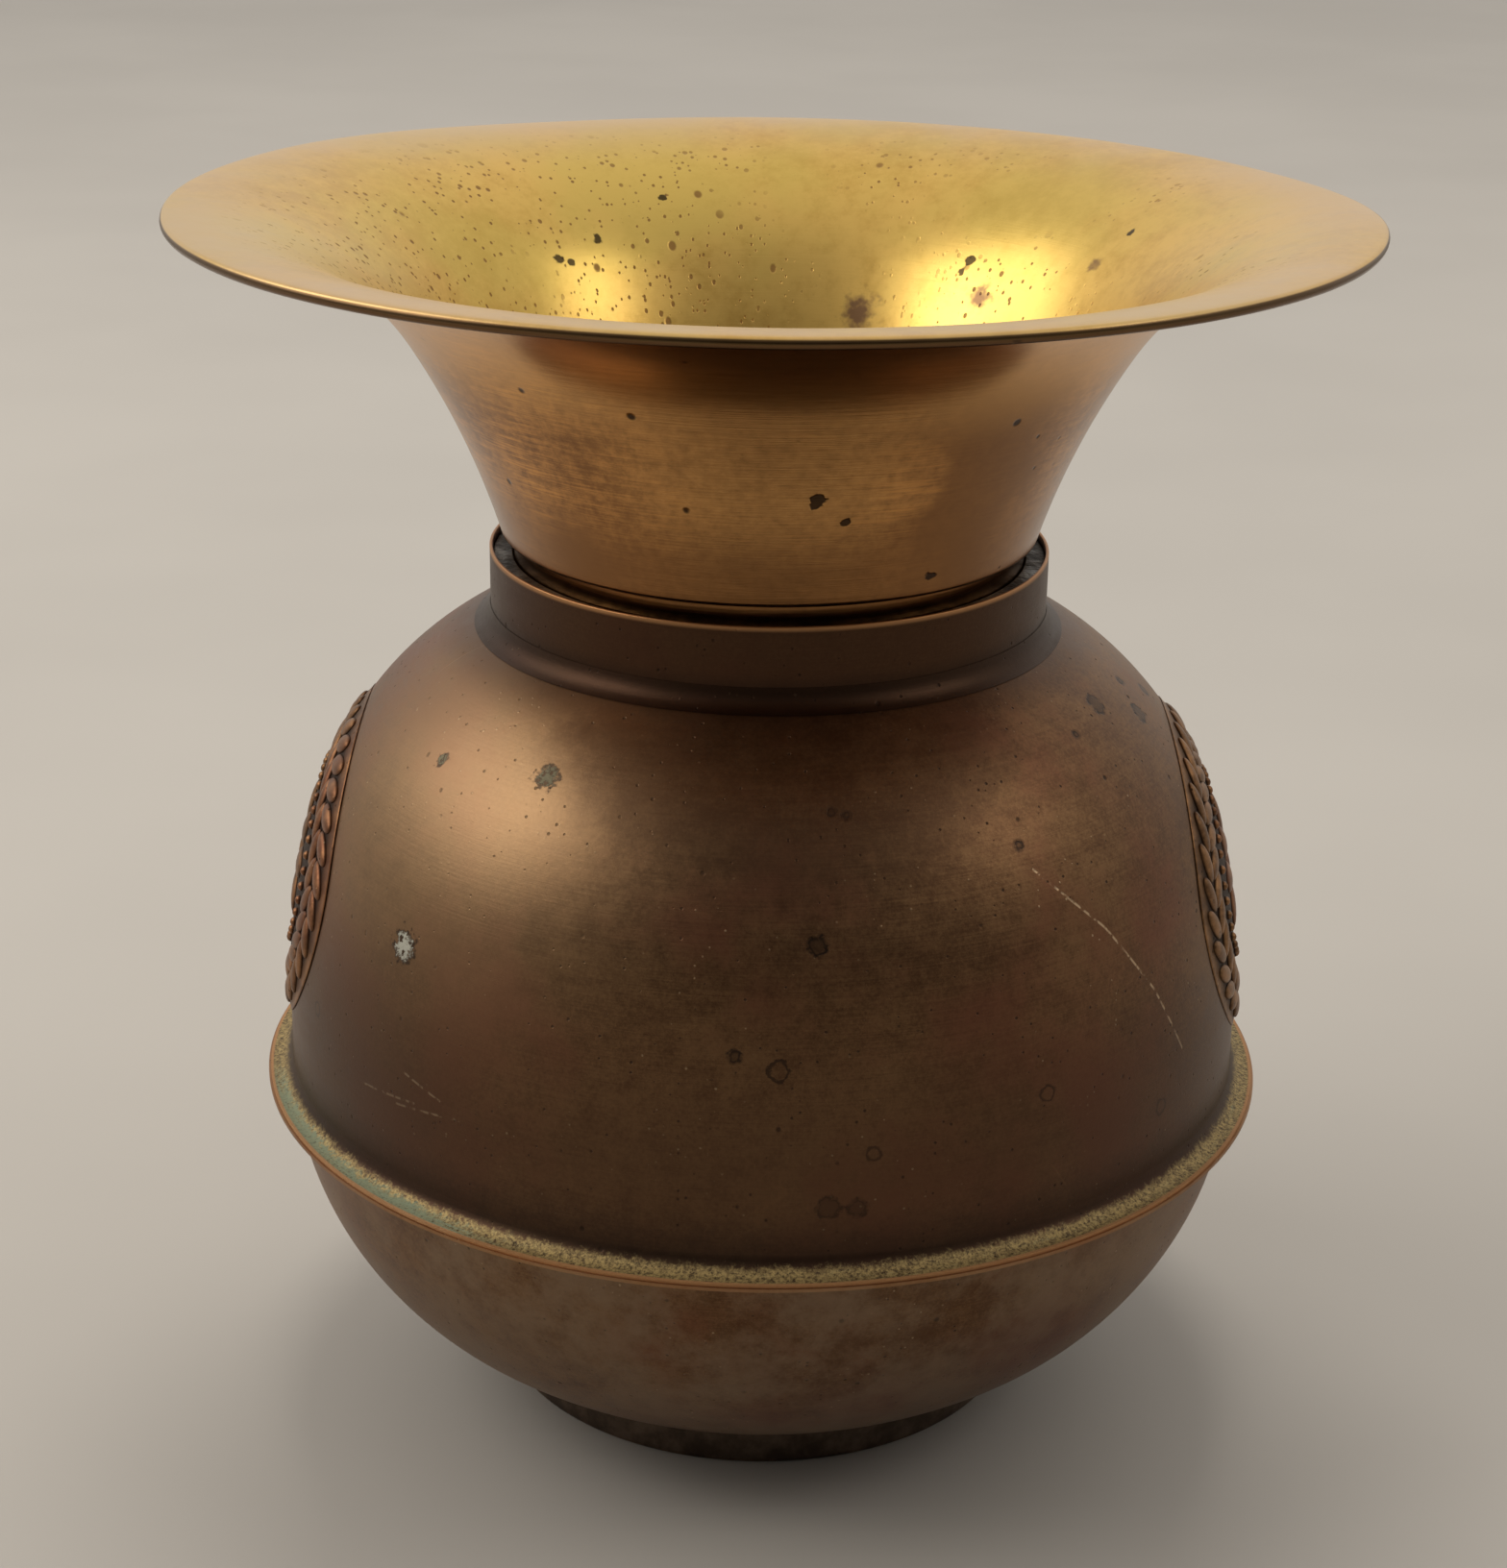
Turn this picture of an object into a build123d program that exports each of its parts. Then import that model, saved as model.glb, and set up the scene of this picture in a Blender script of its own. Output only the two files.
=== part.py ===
from build123d import *

import os
from math import atan2, cos, degrees, radians, sin, tan

# A brass spittoon of spun sheet: a round vessel on a low foot, and a wide funnel that lifts out of its
# collar. Millimetres, +Z up, the axis of every round piece on Z, the foot standing on Z = 0.

# Sheet, solder and play
sheet = 0.7  # thickness of the spun brass
solder_film = 0.1  # solder left between two joined faces
slip_clearance = 0.3  # radial play of the funnel's spigot in its guide ring
edge_round = 0.4 * sheet  # rounding of the sheet's open edges

# Lower bowl
belt_height = 74.0  # seam between bowl and upper shell
bowl_floor_height = 5.6  # underside of the flat floor
bowl_arc = 70.3  # curve from the floor to the flank
bowl_lean = 13.0  # degrees that the flank leans outwards
bowl_mouth_reach = 1.8  # how far the flank's top stands outside the belly
bowl_lip_bend = 2.0  # bend from the flank into the lip

# Upper shell
belly_radius = 105.7  # widest part of the belly
belly_rise = 10.0  # from the seam up to the widest part
belly_run = 24.2  # height that the belly's flat curve takes along its upright
shoulder_slope = 24.3  # degrees that the shoulder falls away from the collar
shell_rise = 103.0  # from the seam up to the ledge
shell_flare = 4.5  # hollow curve from the belly out to the lip
lip_flat = 0.6  # flat end of the shell's lip
lip_step = 0.5  # how far the bowl's lip stands out past the shell's
ledge_margin = 0.6  # ledge outside the collar
ledge_reach = 2.0  # ledge inside the spigot
seam_reach = 0.7  # inner face of the solder in the seam, outside the belly's radius
seam_width = 1.5  # how far that solder reaches into the seam
seam_height = 2.4
seam_flats = 16  # flats round a bend, for the faces of the solder that lie against it

# Collar and what sits in and around it
collar_radius = 59.9  # outside
collar_height = 16.0
guide_width = 4.1  # radial width of the guide ring
guide_height = 6.0
guide_recess = 1.7  # depth of the guide ring below the collar's edge
guide_lead = 1.0  # chamfer that leads the spigot in
fillet_rise = 3.4  # solder up the collar
fillet_run = 3.2  # solder down the shoulder

# Funnel
cone_stand = 4.0  # gap between the collar's edge and the funnel's cone
spigot_step = 2.7  # how far the cone stands out past the spigot
spigot_bend = 0.8  # bend from the spigot into the step
step_bend = 1.2  # bend from the step into the cone
cone_lean = 16.8  # degrees that the cone leans outwards above its step
mouth_run = 30.8  # width that the mouth's round curve takes along its flat lip
funnel_rise = 67.9  # from the cone's lower edge to the underside of the mouth's lip
rim_radius = 125.0  # outside of the rolled edge
wire_radius = 0.3  # wire in the rolled edge
wire_play = 0.2  # gap round the wire

# Foot
foot_radius = 59.6
foot_wall = 1.0
foot_bend = 1.6  # outside bend at the floor
foot_turn_in = 9.0  # width of the edge turned in under the vessel
plate_play = 0.5  # play of the base plate in the foot
ballast_margin = 6.0  # gap between the ballast and the foot's wall

# Side badges, oval plates with a raised border and a flower of petals
badge_rise = 46.5  # from the seam up to the middle of the badge
badge_half_width = 42.0
badge_half_height = 35.5
badge_plate = 0.8
badge_relief = 0.8  # height of border and flower over the plate
badge_border = 4.0  # width of the border
petal_count = 8
petal_ring = 14.0  # middle of the petals from the flower's centre
petal_length = 16.0
petal_width = 7.5
flower_heart = 5.0  # radius of the flower's heart

# Heights and radii that follow from the sizes above
ledge_height = belt_height + shell_rise
belly_height = belt_height + belly_rise
collar_top = ledge_height + collar_height
cone_height = collar_top + cone_stand
lip_height = cone_height + funnel_rise
collar_bore = collar_radius - sheet
guide_bore = collar_bore - solder_film - guide_width
spigot_radius = guide_bore - slip_clearance
cone_radius = spigot_radius + spigot_step
roll_bore = wire_radius + wire_play
roll_radius = roll_bore + sheet
roll_centre = rim_radius - roll_radius
roll_height = lip_height - roll_bore
shell_lip_radius = belly_radius + shell_flare + lip_flat
belt_radius = shell_lip_radius + lip_step
shell_lip_height = belt_height + sheet
flare_room = shell_flare + sheet + solder_film
bend_room = bowl_lip_bend + sheet + solder_film
ledge_edge = collar_radius + ledge_margin
badge_height = belt_height + badge_rise

os.makedirs("parts", exist_ok=True)


def tangent_arcs(start, heading, first_run, end, end_heading):
    """Radius and turn of each of two arcs that bend left from start to end without a corner.

    They leave start along heading and reach end along end_heading, in degrees. The first arc's
    tangents, from its ends to where they cross, are first_run long.
    """
    span = Vector(end) - Vector(start)
    leaving = Vector(cos(radians(heading)), sin(radians(heading)))
    arriving = Vector(cos(radians(end_heading)), sin(radians(end_heading)))
    last_run = (span.dot(span) / 2 - first_run * span.dot(leaving)) / (
        span.dot(arriving) + first_run * (1 - leaving.dot(arriving))
    )
    across = span - leaving * first_run - arriving * last_run
    middle_heading = degrees(atan2(across.Y, across.X))
    first_turn = (middle_heading - heading) % 360
    last_turn = (end_heading - middle_heading) % 360
    first_radius = first_run / tan(radians(first_turn / 2))
    last_radius = last_run / tan(radians(last_turn / 2))
    return first_radius, first_turn, last_radius, last_turn


belly_arc, belly_turn, shoulder_arc, shoulder_turn = tangent_arcs(
    (belly_radius, belly_height), 90, belly_run, (ledge_edge, ledge_height), 180 - shoulder_slope
)
mouth_arc, mouth_turn, cone_arc, cone_turn = tangent_arcs(
    (roll_centre, lip_height), 180, mouth_run, (cone_radius, cone_height), 270 - cone_lean
)
cone_heading = 90 - cone_lean

# Where the bowl's flank meets the floor's curve and the lip's bend
flank_slope = tan(radians(bowl_lean))
curve_top = bowl_floor_height + bowl_arc * (1 - sin(radians(bowl_lean)))
curve_top_radius = belly_radius + bowl_mouth_reach - (belt_height - curve_top) * flank_slope
floor_radius = curve_top_radius - bowl_arc * cos(radians(bowl_lean))
lip_underside = belt_height - sheet
flank_top = lip_underside - bowl_lip_bend * (1 - sin(radians(bowl_lean)))
flank_top_radius = curve_top_radius + (flank_top - curve_top) * flank_slope
bend_centre_radius = flank_top_radius + bowl_lip_bend * cos(radians(bowl_lean))


def draw_bowl_flank(outside):
    """Outer line of the bowl from its axis to the top of its flank, moved outwards by a distance."""
    floor = Line((0, bowl_floor_height - outside), (floor_radius, bowl_floor_height - outside))
    curve = JernArc(floor @ 1, (1, 0), bowl_arc + outside, 90 - bowl_lean)
    flank_length = (flank_top - curve_top) / cos(radians(bowl_lean))
    return PolarLine(curve @ 1, flank_length, 90 - bowl_lean)


def draw_shell_side(outside):
    """Outer line of the shell from its flare to its ledge, moved outwards by a distance.

    Returns the first and the last piece of the line.
    """
    radius = belly_radius + outside
    upright = Line((radius, shell_lip_height + shell_flare), (radius, belly_height))
    belly = JernArc(upright @ 1, (0, 1), belly_arc + outside, belly_turn)
    shoulder = JernArc(belly @ 1, belly % 1, shoulder_arc + outside, shoulder_turn)
    return upright, shoulder


# Lower bowl: one sheet from the floor up the flank and out into the lip
with BuildPart() as lower_bowl:
    with BuildSketch(Plane.XZ) as bowl_section:
        with BuildLine():
            flank = draw_bowl_flank(0)
            bend = JernArc(flank @ 1, flank % 1, bowl_lip_bend, bowl_lean - 90)
            Line(bend @ 1, (belt_radius, lip_underside))
            offset(amount=sheet, side=Side.LEFT)
        make_face()
        fillet(bowl_section.vertices().sort_by(Axis.X)[-2:], edge_round)
    revolve(axis=Axis.Z)
lower_bowl.part.label = "lower_bowl"
export_step(lower_bowl.part, "parts/lower_bowl.step")

# Upper shell: lip, hollow flare, belly, shoulder and the flat ledge inside the collar
with BuildPart() as upper_shell:
    with BuildSketch(Plane.XZ) as shell_section:
        with BuildLine():
            lip = Line((shell_lip_radius, shell_lip_height), (belly_radius + shell_flare, shell_lip_height))
            JernArc(lip @ 1, (-1, 0), shell_flare, -90)
            upright, shoulder = draw_shell_side(0)
            Line(shoulder @ 1, (spigot_radius - sheet - ledge_reach, ledge_height))
            offset(amount=sheet, side=Side.LEFT)
        make_face()
        fillet(shell_section.vertices().sort_by(Axis.X)[-2:], edge_round)
    revolve(axis=Axis.Z)
upper_shell.part.label = "upper_shell"
export_step(upper_shell.part, "parts/upper_shell.step")

# Solder that seals the belt seam from inside, its faces flat against the shell's flare and the bowl's bend
with BuildPart() as belt_solder:
    with BuildSketch(Plane.XZ):
        with Locations((belly_radius + seam_reach, belt_height)):
            Rectangle(seam_width, seam_height, align=(Align.MIN, Align.CENTER))
        with Locations((belly_radius + shell_flare, shell_lip_height + shell_flare)):
            RegularPolygon(flare_room, seam_flats, major_radius=False, mode=Mode.SUBTRACT)
        with Locations((bend_centre_radius, lip_underside - bowl_lip_bend)):
            RegularPolygon(bend_room, seam_flats, major_radius=False, mode=Mode.SUBTRACT)
    revolve(axis=Axis.Z)
belt_solder.part.label = "belt_solder"
export_step(belt_solder.part, "parts/belt_solder.step")

# Collar: an upright band that stands on the ledge
with BuildPart() as collar:
    with BuildSketch(Plane.XY.offset(ledge_height)):
        Circle(collar_radius)
        Circle(collar_bore, mode=Mode.SUBTRACT)
    extrude(amount=collar_height)
    fillet(collar.edges().group_by(Axis.Z)[-1], edge_round)
collar.part.label = "collar"
export_step(collar.part, "parts/collar.step")

# Guide ring, soldered inside the collar, that centres the spigot
with BuildPart() as guide_ring:
    with BuildSketch(Plane.XY.offset(collar_top - guide_recess)):
        Circle(collar_bore - solder_film)
        Circle(guide_bore, mode=Mode.SUBTRACT)
    extrude(amount=-guide_height)
    chamfer(guide_ring.edges().group_by(Axis.Z)[-1].sort_by(SortBy.RADIUS)[0], guide_lead)
guide_ring.part.label = "guide_ring"
export_step(guide_ring.part, "parts/guide_ring.step")

# Solder run round the foot of the collar, lying on the shoulder
with BuildPart() as collar_solder:
    with BuildSketch(Plane.XZ):
        with BuildLine():
            outwards = (sin(radians(shoulder_slope)), cos(radians(shoulder_slope)))
            run_start = (ledge_edge + solder_film * outwards[0], ledge_height + solder_film * outwards[1])
            down_slope = (outwards[1], -outwards[0])
            run_turn = degrees(fillet_run / shoulder_arc)
            run = JernArc(run_start, down_slope, shoulder_arc + solder_film, -run_turn)
            inner_edge = collar_radius + solder_film
            wall_top = (inner_edge, ledge_height + fillet_rise)
            Polyline(run @ 1, wall_top, (inner_edge, run_start[1]), run_start)
        make_face()
    revolve(axis=Axis.Z)
collar_solder.part.label = "collar_solder"
export_step(collar_solder.part, "parts/collar_solder.step")

# Funnel: spigot, step, throat, mouth and the edge rolled down three quarters round its wire
with BuildPart() as funnel:
    with BuildSketch(Plane.XZ):
        with Locations((roll_centre, roll_height)):
            Circle(roll_radius)
            Circle(roll_bore, mode=Mode.SUBTRACT)
            Rectangle(roll_radius, roll_radius, align=(Align.MAX, Align.MIN), mode=Mode.SUBTRACT)
        with BuildLine():
            step_height = cone_height - step_bend * (1 - cos(radians(cone_heading)))
            step_end = cone_radius - step_bend * sin(radians(cone_heading))
            spigot = Line((spigot_radius, ledge_height), (spigot_radius, step_height - spigot_bend))
            inner_bend = JernArc(spigot @ 1, (0, 1), spigot_bend, -90)
            step = Line(inner_bend @ 1, (step_end, step_height))
            outer_bend = JernArc(step @ 1, (1, 0), step_bend, cone_heading)
            throat = JernArc(outer_bend @ 1, outer_bend % 1, cone_arc, -cone_turn)
            JernArc(throat @ 1, throat % 1, mouth_arc, -mouth_turn)
            offset(amount=sheet, side=Side.LEFT)
        make_face()
    revolve(axis=Axis.Z)
funnel.part.label = "funnel"
export_step(funnel.part, "parts/funnel.step")

# Wire inside the rolled edge
with BuildPart() as rim_wire:
    with BuildSketch(Plane.XZ):
        with Locations((roll_centre, roll_height)):
            Circle(wire_radius)
    revolve(axis=Axis.Z)
rim_wire.part.label = "rim_wire"
export_step(rim_wire.part, "parts/rim_wire.step")


def draw_bowl_room():
    """Closed outline of the space that the bowl takes up, with its film of solder."""
    side = draw_bowl_flank(solder_film)
    Polyline(side @ 1, (0, (side @ 1).Y), (0, bowl_floor_height - solder_film))


# Foot: an upright band cut to the bowl's underside, with its lower edge turned in
with BuildPart() as foot_ring:
    with BuildSketch(Plane.XZ):
        with BuildLine():
            turned_in = Line((foot_radius - foot_turn_in, 0), (foot_radius - foot_bend, 0))
            corner = JernArc(turned_in @ 1, (1, 0), foot_bend, 90)
            Line(corner @ 1, (foot_radius, curve_top))
            offset(amount=foot_wall, side=Side.LEFT)
        make_face()
        with BuildLine():
            draw_bowl_room()
        make_face(mode=Mode.SUBTRACT)
    revolve(axis=Axis.Z)
foot_ring.part.label = "foot_ring"
export_step(foot_ring.part, "parts/foot_ring.step")

# Base plate, a disc that lies on the foot's turned-in edge
with BuildPart() as base_plate:
    with BuildSketch(Plane.XY.offset(foot_wall)):
        Circle(foot_radius - foot_bend - plate_play)
    extrude(amount=sheet)
base_plate.part.label = "base_plate"
export_step(base_plate.part, "parts/base_plate.step")

# Ballast, a disc on the base plate that is hollowed to the bowl's underside
with BuildPart() as ballast:
    with BuildSketch(Plane.XZ):
        with Locations((0, foot_wall + sheet)):
            Rectangle(foot_radius - foot_wall - ballast_margin, curve_top / 2, align=(Align.MIN, Align.MIN))
        with BuildLine():
            draw_bowl_room()
        make_face(mode=Mode.SUBTRACT)
    revolve(axis=Axis.Z)
ballast.part.label = "ballast"
export_step(ballast.part, "parts/ballast.step")


def draw_badge_band(thickness):
    """Closed outline of a layer of this thickness that lies on the shell's side."""
    inner_foot, inner_top = draw_shell_side(solder_film)
    outer_foot, outer_top = draw_shell_side(solder_film + thickness)
    Line(inner_foot @ 0, outer_foot @ 0)
    Line(inner_top @ 1, outer_top @ 1)


# Border and flower of a badge, cut from a layer as thick as plate and relief together
with BuildPart() as badge_ornament:
    with BuildSketch(Plane.YZ):
        with Locations((0, badge_height)):
            Ellipse(badge_half_width, badge_half_height)
            Ellipse(badge_half_width - badge_border, badge_half_height - badge_border, mode=Mode.SUBTRACT)
            Circle(flower_heart)
            with PolarLocations(petal_ring, petal_count):
                Ellipse(petal_length / 2, petal_width / 2)
    extrude(amount=belt_radius)
    with BuildSketch(Plane.XZ):
        with BuildLine():
            draw_badge_band(badge_plate + badge_relief)
        make_face()
    revolve(axis=Axis.Z, mode=Mode.INTERSECT)

# Right badge: an oval plate bent to the shell, with its ornament
with BuildPart() as badge_right:
    with BuildSketch(Plane.YZ):
        with Locations((0, badge_height)):
            Ellipse(badge_half_width, badge_half_height)
    extrude(amount=belt_radius)
    with BuildSketch(Plane.XZ):
        with BuildLine():
            draw_badge_band(badge_plate)
        make_face()
    revolve(axis=Axis.Z, mode=Mode.INTERSECT)
    add(badge_ornament.part)
badge_right.part.label = "badge_right"
export_step(badge_right.part, "parts/badge_right.step")

# Left badge: the right one turned half round the vessel
with BuildPart() as badge_left:
    with Locations(Rotation(0, 0, 180)):
        add(badge_right.part)
badge_left.part.label = "badge_left"
export_step(badge_left.part, "parts/badge_left.step")
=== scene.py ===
# %% [markdown]
# # A brass spittoon
# The object is a vessel of spun brass sheet with a wide funnel that lifts out of its collar. The solids of
# the part give every size and place. This lesson dresses them: it turns finer meshes from the same sections,
# stamps the two side badges, and gives each piece the tarnish, stains and wear that years of use leave on
# brass, with some shade, highlights and reflections painted into the colours. The solids are loaded first.
# Their box is kept, and the end prints it.

from math import atan2, ceil, cos, degrees, pi, radians, sin, sqrt, tan

import bmesh
import bpy
import numpy as np
from mathutils import Matrix, Vector


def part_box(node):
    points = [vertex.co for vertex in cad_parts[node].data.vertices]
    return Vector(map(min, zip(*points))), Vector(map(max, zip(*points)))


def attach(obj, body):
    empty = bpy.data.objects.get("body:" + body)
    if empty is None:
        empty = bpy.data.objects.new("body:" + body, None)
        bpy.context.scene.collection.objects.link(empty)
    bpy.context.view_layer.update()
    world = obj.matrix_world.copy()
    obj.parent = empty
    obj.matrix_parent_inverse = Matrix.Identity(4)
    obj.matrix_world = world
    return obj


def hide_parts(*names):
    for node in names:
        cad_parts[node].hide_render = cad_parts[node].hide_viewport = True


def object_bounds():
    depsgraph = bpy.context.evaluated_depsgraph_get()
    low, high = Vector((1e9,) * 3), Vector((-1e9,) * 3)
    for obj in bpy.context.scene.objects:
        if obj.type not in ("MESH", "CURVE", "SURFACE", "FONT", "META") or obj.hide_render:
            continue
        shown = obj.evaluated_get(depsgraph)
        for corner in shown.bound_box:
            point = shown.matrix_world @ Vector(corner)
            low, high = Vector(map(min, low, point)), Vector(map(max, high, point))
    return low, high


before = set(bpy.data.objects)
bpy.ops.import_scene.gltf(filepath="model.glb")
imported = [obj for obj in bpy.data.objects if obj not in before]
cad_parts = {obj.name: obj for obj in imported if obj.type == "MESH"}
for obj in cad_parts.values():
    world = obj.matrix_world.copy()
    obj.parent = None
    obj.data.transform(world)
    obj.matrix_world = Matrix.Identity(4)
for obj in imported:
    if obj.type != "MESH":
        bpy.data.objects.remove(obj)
solid_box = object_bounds()
scene = bpy.context.scene
mm = 0.001
print("solids:", sorted(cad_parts))

# %% [markdown]
# ## Camera
# The photograph looks down on the object from the front, so close that the mouth, which is nearest, looks
# wider than it is. A camera can be pointed with a constraint, but here its place and its three angles are
# known, so its matrix is written straight from them. The lens follows from the picture's longer side.

# %% Place the camera
picture_height = 1632
focal_pixels = 3207
camera_place = Vector((0.0003, -0.6367, 0.3819))
camera_pitch = radians(21.05)
camera_yaw = radians(-0.263)
camera_roll = radians(0.822)

ahead = Vector((sin(camera_yaw) * cos(camera_pitch), cos(camera_yaw) * cos(camera_pitch), -sin(camera_pitch)))
level = Vector((cos(camera_yaw), -sin(camera_yaw), 0))
upright = level.cross(ahead)
right = cos(camera_roll) * level + sin(camera_roll) * upright
above = cos(camera_roll) * upright - sin(camera_roll) * level

camera_data = bpy.data.cameras.new("photo_camera")
camera_data.sensor_width = 36
camera_data.lens = camera_data.sensor_width * focal_pixels / picture_height
camera = bpy.data.objects.new("photo_camera", camera_data)
camera.matrix_world = Matrix.Translation(camera_place) @ Matrix((right, above, -ahead)).transposed().to_4x4()
scene.collection.objects.link(camera)
scene.camera = camera
print("lens", round(camera_data.lens, 2), "mm")

# %% [markdown]
# ## Node expressions
# Materials and node modifiers are graphs, and a long graph is hard to read as a list of links. This class
# wraps one output socket. Sums and products of such values add the Math nodes that work them out, so that a
# mask reads as a formula. Any other node comes from `node`: its settings first, then its sockets.

# %% Wrap a socket
class Flow:
    """An output socket of a node tree, which formulas can be written with."""

    def __init__(self, tree, socket):
        self.tree = tree
        self.socket = socket

    def node(self, kind, settings=None, sockets=None, output=0):
        """Add a node, make its settings, fill its sockets with values or links, and return one output."""
        made = self.tree.nodes.new(kind)
        for name, value in (settings or {}).items():
            setattr(made, name, value)
        for name, value in (sockets or {}).items():
            named = [s for s in made.inputs if s.identifier == name]
            target = named[0] if named else made.inputs[name]
            if isinstance(value, Flow):
                self.tree.links.new(value.socket, target)
            else:
                target.default_value = value
        named = [s for s in made.outputs if s.identifier == output]
        return Flow(self.tree, named[0] if named else made.outputs[output])

    def out(self, name):
        """Another output of the same node."""
        return Flow(self.tree, self.socket.node.outputs[name])

    def math(self, operation, *values):
        return self.node("ShaderNodeMath", {"operation": operation}, dict(enumerate(values)))

    def vector(self, operation, *values, output=0):
        return self.node("ShaderNodeVectorMath", {"operation": operation}, dict(enumerate(values)), output)

    def __add__(self, other):
        return self.math("ADD", self, other)

    def __sub__(self, other):
        return self.math("SUBTRACT", self, other)

    def __rsub__(self, other):
        return self.math("SUBTRACT", other, self)

    def __mul__(self, other):
        return self.math("MULTIPLY", self, other)

    def __truediv__(self, other):
        return self.math("DIVIDE", self, other)

    def __rtruediv__(self, other):
        return self.math("DIVIDE", other, self)

    __radd__ = __add__
    __rmul__ = __mul__

    def larger(self, other):
        return self.math("MAXIMUM", self, other)

    def smaller(self, other):
        return self.math("MINIMUM", self, other)

    def size(self):
        return self.math("ABSOLUTE", self)

    def between(self, low, high):
        """0 at low and 1 at high, with soft ends. It falls where low is the larger."""
        sockets = {"Value": self, "From Min": low, "From Max": high}
        return self.node("ShaderNodeMapRange", {"interpolation_type": "SMOOTHSTEP"}, sockets)

    def parts(self):
        """The three numbers of a vector."""
        apart = self.node("ShaderNodeSeparateXYZ", None, {0: self})
        return apart, apart.out(1), apart.out(2)

    def gather(self, x, y, z):
        return self.node("ShaderNodeCombineXYZ", None, {0: x, 1: y, 2: z})

    def distance(self, place):
        return self.vector("DISTANCE", self, tuple(place), output="Value")

    def noise(self, scale, detail=3.0, roughness=0.55, distortion=0.0):
        """Cloudy noise on this vector, from 0 to 1."""
        sockets = {"Vector": self, "Scale": scale, "Detail": detail}
        sockets.update({"Roughness": roughness, "Distortion": distortion})
        return self.node("ShaderNodeTexNoise", None, sockets)

    def cells(self, scale):
        """Distance to the nearest of scattered points, and a random number for each point."""
        near = self.node("ShaderNodeTexVoronoi", None, {"Vector": self, "Scale": scale})
        return near, near.out("Color").parts()[0]

    def mix(self, first, second):
        """This share of the way from one colour to another."""
        sockets = {"Factor_Float": self, "A_Color": first, "B_Color": second}
        return self.node("ShaderNodeMix", {"data_type": "RGBA"}, sockets, "Result_Color")


# %% [markdown]
# ## Sections
# Every round piece was spun from sheet over a former, so its section is a few straight runs and bends. They
# are drawn here like a walk: so far ahead, then a bend of some radius. Each step notes the side that is left
# of it, where the sheet's other face lies. Points could be typed in by hand instead, but then a bend would
# never be quite round.

# %% Walk along a section
point_spacing = 1.6 * mm
least_bend_steps = 12


class Sheet:
    """Section of a turned sheet, as radius and height, walked along its outer face."""

    def __init__(self, radius, height, heading, thickness):
        self.heading = radians(heading)
        self.thickness = thickness
        self.walk = [(Vector((radius, height)), self.left())]

    def left(self):
        return Vector((-sin(self.heading), cos(self.heading)))

    def end(self):
        return self.walk[-1][0]

    def run(self, length):
        """Go straight ahead."""
        start = self.end()
        forward = Vector((cos(self.heading), sin(self.heading)))
        steps = ceil(length / point_spacing)
        for step in range(1, steps + 1):
            self.walk.append((start + forward * length * step / steps, self.left()))

    def bend(self, radius, turn):
        """Follow an arc, to the left where the turn is positive."""
        side = 1 if turn > 0 else -1
        centre = self.end() + self.left() * radius * side
        steps = max(least_bend_steps, ceil(radius * radians(abs(turn)) / point_spacing))
        for step in range(steps):
            self.heading += radians(turn) / steps
            self.walk.append((centre - self.left() * radius * side, self.left()))

    def outline(self, rolled=0):
        """Both faces as one line of points, each with 0 for the outer face or 1 for the inner one.

        The last few points of the inner face, where an edge is rolled over, can count as outer.
        """
        outer = [(point, 0.0) for point, left in self.walk]
        inner = [(point + left * self.thickness, 1.0) for point, left in reversed(self.walk)]
        under = [(point, 0.0) for point, face in inner[:rolled]]
        return outer + under + inner[rolled:]


def two_bends(start, heading, first_run, end, end_heading):
    """Radius and turn of two bends to the left that lead from start to end without a corner."""
    span = Vector(end) - Vector(start)
    leaving = Vector((cos(radians(heading)), sin(radians(heading))))
    arriving = Vector((cos(radians(end_heading)), sin(radians(end_heading))))
    last_run = (span.dot(span) / 2 - first_run * span.dot(leaving)) / (
        span.dot(arriving) + first_run * (1 - leaving.dot(arriving))
    )
    across = span - leaving * first_run - arriving * last_run
    middle = degrees(atan2(across.y, across.x))
    first_turn = (middle - heading) % 360
    last_turn = (end_heading - middle) % 360
    return (
        (first_run / tan(radians(first_turn / 2)), first_turn),
        (last_run / tan(radians(last_turn / 2)), last_turn),
    )


# %% [markdown]
# ## The lathe
# A turned piece follows a rule, its section swept round an axis, so a node tree makes it. The section comes
# in as a line of edges. `Curve to Mesh` sweeps it along a circle so small that it acts as the axis. Hand-made
# sheet is never quite true, so a slow noise moves the surface by a fraction of a millimetre, the same noise
# for all pieces, so that they still fit each other. One side of a rim can sag, as on a funnel that has met
# the floor: the sag grows towards that side, and with height. A Screw modifier turns sections too, but it
# gives neither the waver nor the sag.

# %% Start and end a node tree
def start_tree(name, inputs):
    """A geometry tree, and a flow from each of its inputs, which are given as kind and value."""
    tree = bpy.data.node_groups.new(name, "GeometryNodeTree")
    for label, (kind, value) in inputs.items():
        made = tree.interface.new_socket(name=label, in_out="INPUT", socket_type="NodeSocket" + kind)
        if value is not None:
            made.default_value = value
    tree.interface.new_socket(name="Piece", in_out="OUTPUT", socket_type="NodeSocketGeometry")
    sockets = tree.nodes.new("NodeGroupInput").outputs
    return tree, {label: Flow(tree, sockets[label]) for label in inputs}


def end_tree(tree, piece, material):
    """Make a tree's result plain geometry, smooth, with its material."""
    piece = piece.node("GeometryNodeRealizeInstances", None, {0: piece})
    piece = piece.node("GeometryNodeSetShadeSmooth", None, {0: piece})
    piece = piece.node("GeometryNodeSetMaterial", None, {"Geometry": piece, "Material": material})
    tree.links.new(piece.socket, tree.nodes.new("NodeGroupOutput").inputs[0])
    print(tree.name, "inputs:", [item.name for item in tree.interface.items_tree if item.in_out == "INPUT"])


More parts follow.
